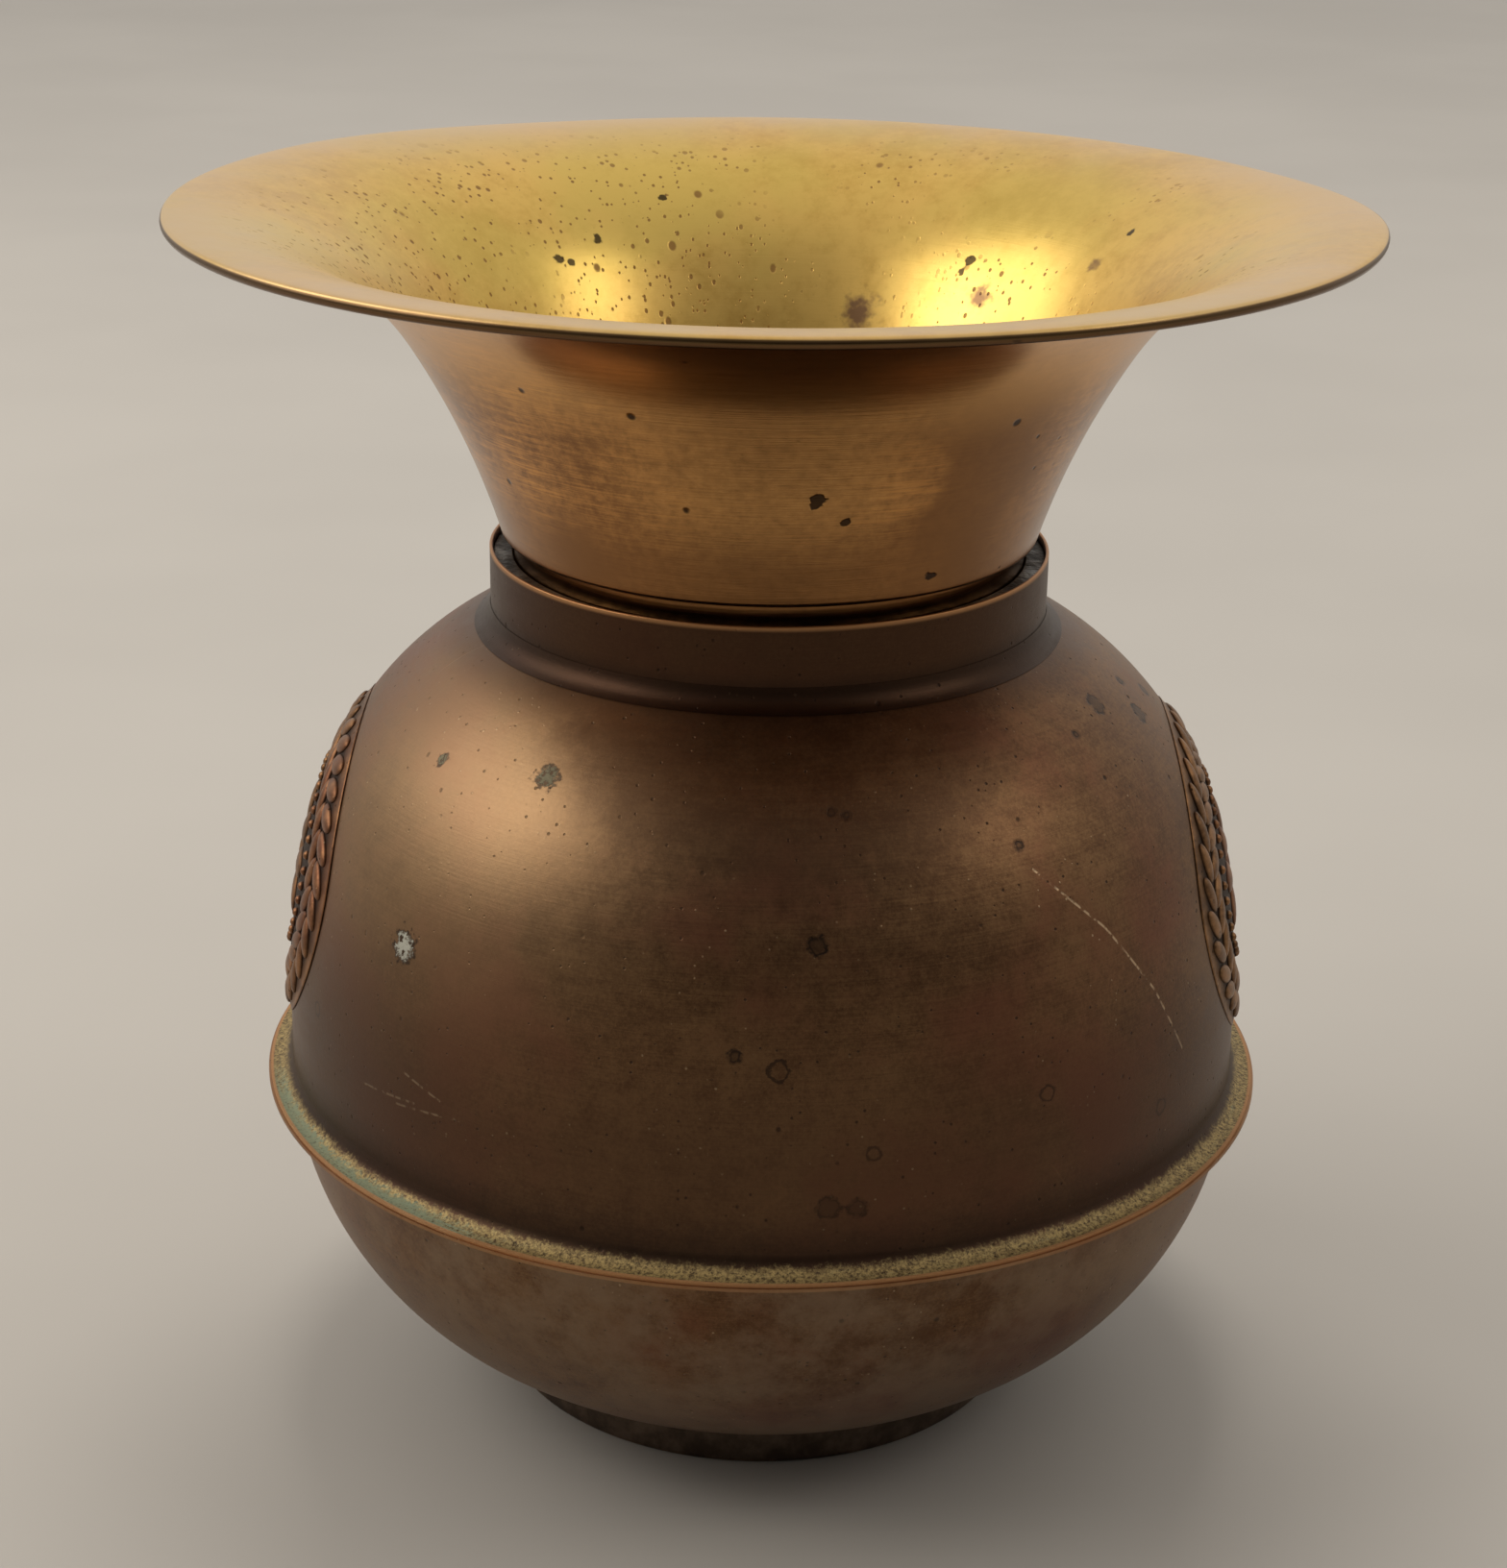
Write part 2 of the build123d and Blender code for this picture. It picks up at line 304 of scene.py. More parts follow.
# %% Build the lathe's node tree
axis_radius = 0.01 * mm
merge_distance = 0.005 * mm
lathe_inputs = {
    "Section": ("Geometry", None),
    "Segments": ("Int", 256),
    "Waver": ("Float", 0.16 * mm),
    "Waver Scale": ("Float", 18.0),
    "Sag Towards": ("Vector", (0.0, 1.0, 0.0)),
    "Sag Start": ("Float", 0.0),
    "Sag End": ("Float", 1.0),
    "Sag Foot": ("Float", 0.0),
    "Sag Top": ("Float", 1.0),
    "Sag Depth": ("Float", 0.0),
    "Material": ("Material", None),
}


def build_lathe():
    tree, given = start_tree("lathe", lathe_inputs)
    section = given["Section"]
    line = section.node("GeometryNodeMeshToCurve", None, {0: section})
    place = section.node("GeometryNodeInputPosition")
    radius, _, height = place.parts()
    flat = place.gather(radius - axis_radius, 0 - height, 0.0)
    line = line.node("GeometryNodeSetPosition", None, {"Geometry": line, "Position": flat})
    circle = {"Resolution": given["Segments"], "Radius": axis_radius}
    axis = line.node("GeometryNodeCurvePrimitiveCircle", None, circle)
    piece = axis.node("GeometryNodeCurveToMesh", None, {"Curve": axis, "Profile Curve": line})
    piece = piece.node("GeometryNodeMergeByDistance", None, {"Geometry": piece, "Distance": merge_distance})

    clouds = {"Vector": place, "Scale": given["Waver Scale"], "Detail": 1.0}
    shift = place.node("ShaderNodeTexNoise", None, clouds, "Color")
    shift = shift.vector("SUBTRACT", shift, (0.5, 0.5, 0.5))
    spread = {0: shift, "Scale": given["Waver"] * 2}
    shift = shift.node("ShaderNodeVectorMath", {"operation": "SCALE"}, spread)
    sideways = place.vector("DOT_PRODUCT", place, given["Sag Towards"], output="Value")
    sideways = sideways.between(given["Sag Start"], given["Sag End"])
    upwards = height.between(given["Sag Foot"], given["Sag Top"])
    sag = place.gather(0.0, 0.0, 0 - sideways * upwards * given["Sag Depth"])
    shift = shift.vector("ADD", shift, sag)
    piece = piece.node("GeometryNodeSetPosition", None, {"Geometry": piece, "Offset": shift})
    end_tree(tree, piece, given["Material"])
    return tree


lathe = build_lathe()

# %% [markdown]
# A tree only becomes a mesh through a modifier. Its inputs are set by their identifiers before the object is
# first evaluated. The modifier could stay live, but then the result could not be measured or mended here. So
# it is kept as a plain mesh, and the modifier goes. A closed mesh whose signed volume is negative is inside
# out, which is put right. Every corner sharper than an angle stays sharp.

# %% Keep what a tree makes
def through_nodes(name, mesh, tree, **sizes):
    """An object with the plain mesh that a node tree makes of a given mesh."""
    piece = bpy.data.objects.new(name, mesh)
    scene.collection.objects.link(piece)
    modifier = piece.modifiers.new(tree.name, "NODES")
    modifier.node_group = tree
    for item in tree.interface.items_tree:
        if item.in_out == "INPUT" and item.name in sizes:
            modifier[item.identifier] = sizes[item.name]
    evaluated = piece.evaluated_get(bpy.context.evaluated_depsgraph_get())
    plain = bpy.data.meshes.new_from_object(evaluated)
    piece.modifiers.remove(modifier)
    piece.data = plain
    plain.name = name
    return piece


def turn_outwards(mesh):
    """Point a closed mesh's faces outwards. Its volume in cubic millimetres and its open edges come back."""
    work = bmesh.new()
    work.from_mesh(mesh)
    volume = work.calc_volume(signed=True)
    if volume < 0:
        bmesh.ops.reverse_faces(work, faces=work.faces)
    open_edges = sum(not edge.is_manifold for edge in work.edges)
    work.to_mesh(mesh)
    work.free()
    return abs(volume) / mm**3, open_edges


def keep_inside(mesh):
    """Press what the waver has moved past the box of all the solids back onto it."""
    low, high = solid_box
    places = np.zeros(len(mesh.vertices) * 3)
    mesh.vertices.foreach_get("co", places)
    mesh.vertices.foreach_set("co", np.clip(places.reshape(-1, 3), low, high).ravel())


# %% Turn a section into a piece
sharp_corner = radians(38)


def turned(name, node, outline, material, closed=True, body="vessel", slot="body_brass", **sizes):
    """A piece turned from an outline of (point, face) pairs, which replaces a solid and rides on its body."""
    mesh = bpy.data.meshes.new(name + "_section")
    count = len(outline)
    edges = [(n, n + 1) for n in range(count - 1)]
    if closed:
        edges.append((count - 1, 0))
    mesh.from_pydata([(point.x, 0, point.y) for point, face in outline], edges, [])
    inner = mesh.attributes.new("inner_face", "FLOAT", "POINT")
    inner.data.foreach_set("value", [face for point, face in outline])
    piece = through_nodes(name, mesh, lathe, Material=material, **sizes)
    keep_inside(piece.data)
    volume, open_edges = turn_outwards(piece.data)
    piece.data.set_sharp_from_angle(angle=sharp_corner)
    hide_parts(node)
    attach(piece, body)
    print(name, len(piece.data.polygons), "faces,", round(volume), "mm3,", open_edges, "open edges")


# %% [markdown]
# ## Finishes
# All the brass here is the same alloy at different stages. Polished it is golden, handled it goes brown,
# neglected it turns nearly black and, where damp sits, green. Painted pictures could carry such finishes, but
# every piece would need its own and they blur close up. Formulas stay sharp and are changed by a number. A
# finish starts with a material, its shader, and the Object coordinates that every pattern reads, in metres.

# %% Start a material
def start_finish(name):
    """A new material, its shader and the place on the piece."""
    material = bpy.data.materials.new(name)
    material.use_nodes = True
    tree = material.node_tree
    place = Flow(tree, tree.nodes.new("ShaderNodeTexCoord").outputs["Object"])
    return material, tree.nodes["Principled BSDF"], place


def feed(shader, **sockets):
    """Set or link the shader's sockets, whose names are written with underscores."""
    for name, value in sockets.items():
        target = shader.inputs[name.replace("_", " ")]
        if isinstance(value, Flow):
            value.tree.links.new(value.socket, target)
        else:
            target.default_value = value


def bump(height, depth):
    """A normal that follows a height from 0 to 1, depth metres deep."""
    return height.node("ShaderNodeBump", None, {"Height": height, "Distance": depth, "Strength": 1.0})


def off_axis(place):
    """Distance from the axis of the object."""
    x, y, _ = place.parts()
    return place.vector("LENGTH", place.gather(x, y, 0.0), output="Value")


def around(place, across):
    """A vector for marks that run round the axis: slow along the round, fast across it."""
    x, y, height = place.parts()
    radius = off_axis(place)
    return place.gather(x / radius, y / radius, (height + radius * 0.5) * across)


# %% [markdown]
# Specks are scattered points: each cell of a Voronoi pattern has one, and a random number decides which show
# and how large they are. Hair lines lie where a slow noise passes through its middle value, broken up by a
# second noise. Single marks are laid one by one where the photograph shows them: a spot or a ring by its
# distance from a place, a scratch by its distance from a line. All of them return a mask from 0 to 1.

# %% Specks, hair lines and single marks
speck_edge = 0.12
line_core = 0.3
stretch_scale = 2.3
stretch_fade = 0.15
spot_wander = 2.6
ring_wander = 1.3


def specks(place, scale, share, largest):
    """Dots in a share of the cells, up to a largest radius in metres."""
    near, chance = place.cells(scale)
    reach = chance.between(1 - share, 1.0) * (largest * scale)
    return (reach - near).between(0.0, speck_edge)


def hair_lines(place, scale, width, share):
    """Fine lines, broken into stretches."""
    line = (place.noise(scale, 1.0, 0.4, 0.6) - 0.5).size().between(width, width * line_core)
    stretches = place.noise(scale * stretch_scale, 2.0)
    return line * stretches.between(1 - share, 1 - share + stretch_fade)


def spot(place, ragged, centre, reach, soft=0.4):
    """A spot, its edge moved by a noise. The soft share of its reach is where it fades."""
    away = place.distance(centre) + (ragged - 0.5) * (reach * spot_wander)
    return away.between(reach * (1 + soft / 2), reach * (1 - soft / 2))


def ring(place, ragged, centre, reach, width):
    """A ring, the edge of a drop that has dried."""
    away = place.distance(centre) + (ragged - 0.5) * (reach * ring_wander)
    return (away - reach).size().between(width, width * line_core)


def stroke(place, start, end, width):
    """A straight scratch from one place to another, in whatever space the places are."""
    span = end - start
    ahead = place.vector("SUBTRACT", place, tuple(start))
    share = ahead.vector("DOT_PRODUCT", ahead, tuple(span / span.length_squared), output="Value")
    share = share.larger(0.0).smaller(1.0)
    foot = ahead.node("ShaderNodeVectorMath", {"operation": "SCALE"}, {0: tuple(span), "Scale": share})
    return ahead.vector("DISTANCE", ahead, foot, output="Value").between(width, width * line_core)


# %% [markdown]
# ## Upper shell
# Belly and shoulder are one sheet, from the lip at the belt up to the ledge inside the collar. The finish is
# a brown tarnish with cloudy patches, rubbed lighter on the left of the belly, partly as a painted highlight
# where the left highlight falls. Painted shade darkens the belly low down, the front of the shoulder under
# the mouth, the shoulder under the collar and the lower left. Drops have left rings and dark spots. Polish
# and damp have gathered in the hollow above the lip, golden where it was rubbed and pale green on one side.
# Separate shaders could be mixed for all this. Here one shader's colour is laid on in layers, each with its
# own mask, because that keeps an order: tarnish first, then marks, then painted shade, then dirt.

# %% Sizes of the shell
sheet = 0.7 * mm
film = 0.1 * mm
shell_low, shell_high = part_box("upper_shell")
bowl_low, bowl_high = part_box("lower_bowl")
collar_low, collar_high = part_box("collar")
funnel_low, funnel_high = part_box("funnel")
foot_low, foot_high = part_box("foot_ring")
badge_low, badge_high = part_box("badge_right")

belly_radius = 105.7 * mm
belly_height = shell_low.z + 10 * mm
belly_run = 24.2 * mm
shoulder_slope = 24.3
shell_flare = 4.5 * mm
ledge_edge = collar_high.x + 0.6 * mm
ledge_corner = 0.3 * mm
belly_bend, shoulder_bend = two_bends(
    (belly_radius, belly_height), 90, belly_run, (ledge_edge, shell_high.z), 180 - shoulder_slope
)
ledge_inner = 52.0 * mm

# %% Draw the shell
shell_line = Sheet(shell_high.x, shell_low.z + sheet, 180, sheet)
shell_line.run(shell_high.x - belly_radius - shell_flare)
shell_line.bend(shell_flare, -90)
shell_line.run(belly_height - shell_line.end().y)
shell_line.bend(*belly_bend)
shell_line.bend(*shoulder_bend)
shell_side = [point.copy() for point, left in shell_line.walk]
shell_line.bend(ledge_corner, shoulder_slope)
shell_line.run(shell_line.end().x - ledge_inner)


def shell_radius(height):
    """Outer radius of the shell at a height."""
    heights = [point.y for point in shell_side]
    radii = [point.x for point in shell_side]
    return np.interp(height, heights, radii)


def on_shell(angle, level):
    """A place on the shell's face: its angle from the front towards the right, its height in millimetres."""
    radius = float(shell_radius(level * mm))
    return Vector((radius * sin(radians(angle)), -radius * cos(radians(angle)), level * mm))


print("shell ends at", round(shell_line.end().x / mm, 2), round(shell_line.end().y / mm, 2))

# %% Brown tarnish
tarnish_dark = (0.112, 0.055, 0.027, 1)
tarnish_warm = (0.235, 0.130, 0.061, 1)
tarnish_red = (0.180, 0.068, 0.040, 1)
stain_black = (0.022, 0.015, 0.012, 1)
rubbed_gold = (0.46, 0.34, 0.14, 1)
pale_grit = (0.62, 0.46, 0.28, 1)
copper_edge = (0.50, 0.26, 0.115, 1)


def brown_brass(place, seed):
    """Colour, roughness, height and mottling of brass gone brown, for the pieces that share it."""
    moved = place.vector("ADD", place, (seed, 2 * seed, 3 * seed))
    clouds = moved.noise(16, 3.0, 0.55)
    mottle = moved.noise(190, 6.0, 0.72)
    turning = around(place, 900).noise(4.0, 4.0, 0.7)
    fine = moved.noise(1300, 3.0, 0.75)
    tone = clouds * 0.3 + mottle * 0.35 + turning * 0.2 + fine * 0.3
    colour = tone.between(0.45, 0.71).mix(tarnish_dark, tarnish_warm)
    redder = (moved.noise(22, 3.0, 0.6) + mottle * 0.3).between(0.58, 0.85) * 0.75
    colour = redder.mix(colour, tarnish_red)
    dots = specks(moved, 260, 0.24, 0.8 * mm).larger(specks(moved, 640, 0.30, 0.42 * mm))
    dots = dots * (mottle + 0.1).between(0.35, 0.6)
    colour = (dots * 0.75).mix(colour, stain_black)
    grit = specks(moved, 700, 0.30, 0.34 * mm) * moved.noise(34, 2.0).between(0.42, 0.62)
    colour = (grit * 0.55).mix(colour, pale_grit)
    hairs = hair_lines(moved, 14, 0.002, 0.42)
    colour = (hairs * 0.25).mix(colour, copper_edge)
    roughness = 0.36 + mottle * 0.14 + dots * 0.15 + (turning - 0.5) * 0.12
    height = mottle * 0.4 + turning * 0.25 + fine * 0.2 - dots * 0.8 + grit * 0.5 - hairs * 0.25
    return colour, roughness, height, mottle


# %% Colours and places of the shell's marks
# Lighter, yellower brass: rubbed, and partly a painted highlight
rubbed_highlight_brass = (0.33, 0.215, 0.115, 1)
# Painted shade: the colour given to the shell where shade is painted
painted_shade_brown = (0.060, 0.031, 0.017, 1)
verdigris = (0.25, 0.30, 0.20, 1)
chalk_green = (0.56, 0.56, 0.48, 1)
grey_green = (0.27, 0.245, 0.155, 1)
scratch_pale = (0.66, 0.48, 0.30, 1)

# Marks: angle in degrees, height and reach in millimetres
dried_drops = (
    (1.9, 117.1, 2.0),
    (33.1, 105.9, 1.6),
    (51.7, 92.0, 1.6),
    (-63.7, 102.2, 1.5),
    (12.3, 99.6, 1.4),
)
dark_spots = (
    (6.3, 140.5, 1.7),
    (7.4, 88.7, 2.2),
    (10.6, 88.3, 1.8),
    (65.6, 168.0, 2.3),
    (75.5, 162.3, 2.1),
    (86.6, 162.1, 1.5),
    (80.2, 166.9, 1.1),
    (9.1, 162.3, 0.8),
    (11.1, 161.7, 0.8),
    (34.2, 153.1, 1.0),
    (54.7, 166.0, 0.9),
    (-2.9, 119.8, 1.2),
)
crusts = (
    (-32.5, 163.8, 2.1, grey_green),
    (-52.3, 160.8, 1.2, grey_green),
    (-46.1, 127.4, 2.7, chalk_green),
)
scratch_ends = (
    ((-51.6, 94.8), (-41.8, 96.6)),
    ((-44.8, 94.7), (-34.8, 97.0)),
    ((-44.3, 102.6), (-37.8, 99.5)),
    ((35.2, 148.7), (44.1, 134.5)),
    ((44.1, 134.5), (51.4, 118.0)),
    ((51.4, 118.0), (56.6, 101.9)),
)
print("marks:", len(dried_drops), "drops,", len(dark_spots), "spots,", len(scratch_ends), "scratches")

# %% Lay the marks on the shell
drop_line = 0.5 * mm
spot_line = 0.7 * mm
crust_halo = 1.25
scratch_width = 0.36 * mm


def unrolled(angle, level):
    """A place on the belly rolled out flat: the way round it and the height."""
    return Vector((radians(angle) * belly_radius, level * mm, 0))


def shell_marks(place, colour, height, grain):
    """Lay drops, spots and crusts over the shell's colour and height. The crusts' mask comes back too."""
    ragged = place.noise(600, 3.0, 0.6)
    for turn, level, reach in dried_drops:
        mark = ring(place, ragged, on_shell(turn, level), reach * mm, drop_line)
        colour = (mark * 0.75).mix(colour, stain_black)
    for turn, level, reach in dark_spots:
        centre = on_shell(turn, level)
        rim = ring(place, ragged, centre, reach * mm, spot_line)
        mark = spot(place, ragged, centre, reach * mm) * 0.5 + rim * 0.4
        colour = mark.mix(colour, stain_black)
        height = height - mark * 0.5
    crust = 0.0
    for turn, level, reach, tint in crusts:
        centre = on_shell(turn, level)
        halo = spot(place, ragged, centre, reach * crust_halo * mm)
        colour = (halo * 0.8).mix(colour, stain_black)
        mark = spot(place, ragged, centre, reach * mm) * (grain + ragged - 0.5).between(0.40, 0.52)
        colour = mark.mix(colour, tint)
        crust = mark + crust
    return colour, height, crust.smaller(1.0)


def shell_scratches(place, flat):
    """Scratches, broken into dashes, on the shell rolled out flat."""
    scratch = 0.0
    for start, end in scratch_ends:
        scratch = stroke(flat, unrolled(*start), unrolled(*end), scratch_width) + scratch
    return scratch.smaller(1.0) * place.noise(500, 2.0).between(0.42, 0.58)


# %% Layers on the belt
# How far inside the lip's edge each layer starts to show, and where it is full
belt_grime = (20 * mm, 7 * mm)
belt_gold = (6.6 * mm, 3.6 * mm)
belt_green = (4.6 * mm, 2.6 * mm)
belt_copper = (0.8 * mm, 0.4 * mm)
grain_wander = 7 * mm
mottle_wander = 4 * mm

# Angles between which damp sets in and ends, and between which a trace of it grows
damp_start = (radians(-88), radians(-70))
damp_end = (radians(-16), radians(-42))
damp_trace = (radians(-20), radians(20))


def belt_layers(place, angle, colour, grain, mottle):
    """Grime, rubbed gold, green and copper above the lip, with the masks of the green and the gold."""
    inset = shell_high.x - off_axis(place) + place.parts()[2] - shell_low.z - sheet
    ragged_inset = inset + (grain - 0.5) * grain_wander + (mottle - 0.5) * mottle_wander
    colour = (ragged_inset.between(*belt_grime) * 0.6).mix(colour, stain_black)
    fine = place.noise(1500, 3.0, 0.75)
    trough = ragged_inset.between(*belt_gold)
    colour = (trough * (fine + grain * 0.6).between(0.55, 1.0)).mix(colour, rubbed_gold)
    damp = angle.between(*damp_start) * angle.between(*damp_end) * 0.30 + angle.between(*damp_trace) * 0.08
    streaky = around(place, 1600).noise(9.0, 4.0, 0.7) * 0.5 + fine * 0.5
    green = (damp + streaky).between(0.60, 0.84) * ragged_inset.between(*belt_green)
    colour = (green * 0.9).mix(colour, verdigris)
    colour = (inset.between(*belt_copper) * 0.9).mix(colour, copper_edge)
    return colour, green, trough


# %% Finish of the shell
# Patches of rubbed brass that is partly a painted highlight, and of painted shade: angle in degrees, height,
# reach and core in millimetres
rubbed_highlight_patch = (-48, 160, 75, 15)
low_left_painted_shade = (-52, 98, 48, 12)
shoulder_painted_shade = (4, 178, 54, 36)
shoulder_shade_wander = 14 * mm

# Heights at which painted shade sets in and is full
belly_shade = (136 * mm, 92 * mm)
collar_shade = (169 * mm, 177 * mm)
shell_depth = 0.10 * mm


def patch(place, angle, level, reach, core, wander=0.0):
    """A soft patch on the shell, 0 past its reach and 1 in its core. Its edge can wander."""
    return (place.distance(on_shell(angle, level)) + wander).between(reach * mm, core * mm)


def shell_finish():
    material, shader, place = start_finish("shell_tarnish")
    colour, roughness, height, mottle = brown_brass(place, 0.0)
    x, y, z = place.parts()
    angle = place.math("ARCTAN2", x, 0 - y)
    grain = place.noise(900, 4.0, 0.7)

    # Lighter patch where the left highlight falls: partly rubbed brass, partly a painted highlight
    colour = (patch(place, *rubbed_highlight_patch) * 0.55).mix(colour, rubbed_highlight_brass)
    colour, height, crust = shell_marks(place, colour, height, grain)
    scratch = shell_scratches(place, place.gather(angle * belly_radius, z, 0.0))
    colour = (scratch * 0.8).mix(colour, scratch_pale)
    # Painted shade: the belly darker towards the bottom
    colour = (z.between(*belly_shade) * 0.65).mix(colour, painted_shade_brown)
    # Painted shade: darker on the front of the shoulder below the mouth, and on the shoulder just under the
    # collar
    shoulder_shade = patch(place, *shoulder_painted_shade, wander=(mottle - 0.5) * shoulder_shade_wander) * 0.6
    colour = shoulder_shade.larger(z.between(*collar_shade) * 0.7).mix(colour, painted_shade_brown)
    # Painted shade: darker low on the left of the belly
    colour = (patch(place, *low_left_painted_shade) * 0.4).mix(colour, painted_shade_brown)
    colour, green, trough = belt_layers(place, angle, colour, grain, mottle)

    dull = green.larger(crust).larger(trough * 0.4)
    height = height + dull * grain * 0.8 - scratch * 0.5
    feed(shader, Base_Color=colour, Metallic=0.92 - dull * 0.75, Roughness=roughness + dull * 0.4)
    feed(shader, Normal=bump(height, shell_depth))
    return material


turned("shell_turned", "upper_shell", shell_line.outline(), shell_finish())

# %% [markdown]
# ## Lower bowl
# The bowl has a flat floor, one round bend and a straight flank that turns out into the lip under the
# shell's. Its lip stands out a little further, which leaves a worn line round the belt. A sphere cut flat
# would be quicker, but its flank would be too round. The open ends of the bowl's line lie on the axis, so its
# two faces close there without an edge. The finish is the shell's tarnish under a film of grey dust.

# %% Draw the bowl
bowl_bend = 70.3 * mm
bowl_lean = 13
bowl_mouth_radius = belly_radius + 1.8 * mm
bowl_lip_bend = 2.0 * mm
bowl_curve_top = bowl_low.z + bowl_bend * (1 - sin(radians(bowl_lean)))
flank_slope = tan(radians(bowl_lean))
bowl_curve_radius = bowl_mouth_radius - (bowl_high.z - bowl_curve_top) * flank_slope
bowl_floor_radius = bowl_curve_radius - bowl_bend * cos(radians(bowl_lean))
bowl_flank_top = bowl_high.z - sheet - bowl_lip_bend * (1 - sin(radians(bowl_lean)))

bowl_line = Sheet(0, bowl_low.z, 0, sheet)
bowl_line.run(bowl_floor_radius)
bowl_line.bend(bowl_bend, 90 - bowl_lean)
bowl_line.run((bowl_flank_top - bowl_curve_top) / cos(radians(bowl_lean)))
bowl_line.bend(bowl_lip_bend, bowl_lean - 90)
bowl_line.run(bowl_high.x - bowl_line.end().x)
print("bowl ends at", round(bowl_line.end().x / mm, 2), round(bowl_line.end().y / mm, 2))

# %% Finish of the bowl
bowl_grey = (0.27, 0.19, 0.125, 1)
bowl_lip_rub = (bowl_high.x - 1.2 * mm, bowl_high.x - 0.4 * mm)
bowl_lip_top = (bowl_high.z - 2.0 * mm, bowl_high.z - 0.9 * mm)
bowl_under_shade = (22 * mm, 10 * mm)
bowl_depth = 0.10 * mm


def bowl_finish():
    material, shader, place = start_finish("bowl_tarnish")
    colour, roughness, height, mottle = brown_brass(place, 0.31)
    z = place.parts()[2]
    dusty = (place.noise(45, 5.0, 0.65) + mottle * 0.4).between(0.5, 0.9)
    colour = (dusty * 0.7).mix(colour, bowl_grey)
    lip = off_axis(place).between(*bowl_lip_rub) * z.between(*bowl_lip_top)
    colour = (lip * 0.35).mix(colour, copper_edge)
    # Painted shade: the bowl darker towards its floor, under the belt
    colour = (z.between(*bowl_under_shade) * 0.6).mix(colour, tarnish_dark)
    feed(shader, Base_Color=colour, Metallic=1.0, Roughness=roughness + dusty * 0.06)
    feed(shader, Normal=bump(height, bowl_depth))
    return material


turned("bowl_turned", "lower_bowl", bowl_line.outline(), bowl_finish(), closed=False)

# %% [markdown]
# ## Collar, guide ring and solder
# The collar is a plain band. Its upper edge is rubbed bright by the funnel. Inside it lies the ring that
# centres the funnel, grey and lumpy from solder. Outside, a hollow run of solder joins the collar to the
# shoulder. A Bevel modifier could round the edges. Outlines as small as these are simply listed, corners
# included, so that they go through the same lathe as the rest.

# %% Outline of a band
edge_round = 0.28 * mm
round_steps = 4
band_steps = 8


def rounded(corner, first_angle, radius):
    """Points round a quarter corner, from its centre."""
    angles = [radians(first_angle + 90 * step / round_steps) for step in range(round_steps + 1)]
    return [(corner + Vector((cos(angle), sin(angle))) * radius, 0.0) for angle in angles]


def band(outer, inner, low, high):
    """Outline of an upright band with a rounded upper edge."""
    wall = high - edge_round - low
    rise = [(Vector((outer, low + wall * n / band_steps)), 0.0) for n in range(band_steps)]
    fall = [(point + Vector((inner - outer, 0)), 1.0) for point, face in reversed(rise)]
    top = rounded(Vector((outer - edge_round, high - edge_round)), 0, edge_round)
    top += rounded(Vector((inner + edge_round, high - edge_round)), 90, edge_round)
    return rise + top + fall


# %% Draw and finish the collar
collar_brown = (0.050, 0.025, 0.0145, 1)
collar_dirt = (collar_low.z + 7 * mm, collar_low.z + 2 * mm)
collar_rub = (collar_high.z - 1.3 * mm, collar_high.z - 0.3 * mm)
collar_depth = 0.10 * mm


def collar_finish(name):
    material, shader, place = start_finish(name)
    colour, roughness, height, mottle = brown_brass(place, 0.57)
    z = place.parts()[2]
    colour = (0.7 + mottle * 0.3).mix(colour, collar_brown)
    colour = (z.between(*collar_dirt) * 0.5).mix(colour, stain_black)
    rubbed = z.between(*collar_rub) * (0.45 + mottle).between(0.5, 0.85)
    colour = (rubbed * 0.85).mix(colour, copper_edge)
    feed(shader, Base_Color=colour, Metallic=1.0, Roughness=roughness, Normal=bump(height, collar_depth))
    return material


collar_outline = band(collar_high.x, collar_high.x - sheet, collar_low.z, collar_high.z)
turned("collar_turned", "collar", collar_outline, collar_finish("collar_tarnish"))

# %% Draw and finish the guide ring
guide_low, guide_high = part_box("guide_ring")
guide_bore = 55.0 * mm
guide_dark = (0.05, 0.05, 0.045, 1)
guide_light = (0.20, 0.19, 0.165, 1)
guide_lumps = 0.8 * mm


def solder_finish(name, colour_dark, colour_light, lumps, stains):
    """Solder, lumpy and stained, from grey to the brown of the brass round it."""
    material, shader, place = start_finish(name)
    lumpy = place.noise(260, 4.0, 0.6)
    grime = place.noise(90, 4.0, 0.65).between(0.42, 0.62)
    colour = lumpy.between(0.35, 0.7).mix(colour_dark, colour_light)
    colour = (grime * stains).mix(colour, stain_black)
    feed(shader, Base_Color=colour, Metallic=0.85, Roughness=0.38 + grime * 0.2)
    feed(shader, Normal=bump(lumpy, lumps))
    return material


guide_outline = band(guide_high.x, guide_bore, guide_low.z, guide_high.z)
guide_grey = solder_finish("guide_solder", guide_dark, guide_light, guide_lumps, stains=0.7)
turned("guide_ring_turned", "guide_ring", guide_outline, guide_grey, slot="solder")

# %% Draw and finish the solder round the collar
solder_low, solder_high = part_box("collar_solder")
solder_hollow = 0.7 * mm
solder_steps = 8


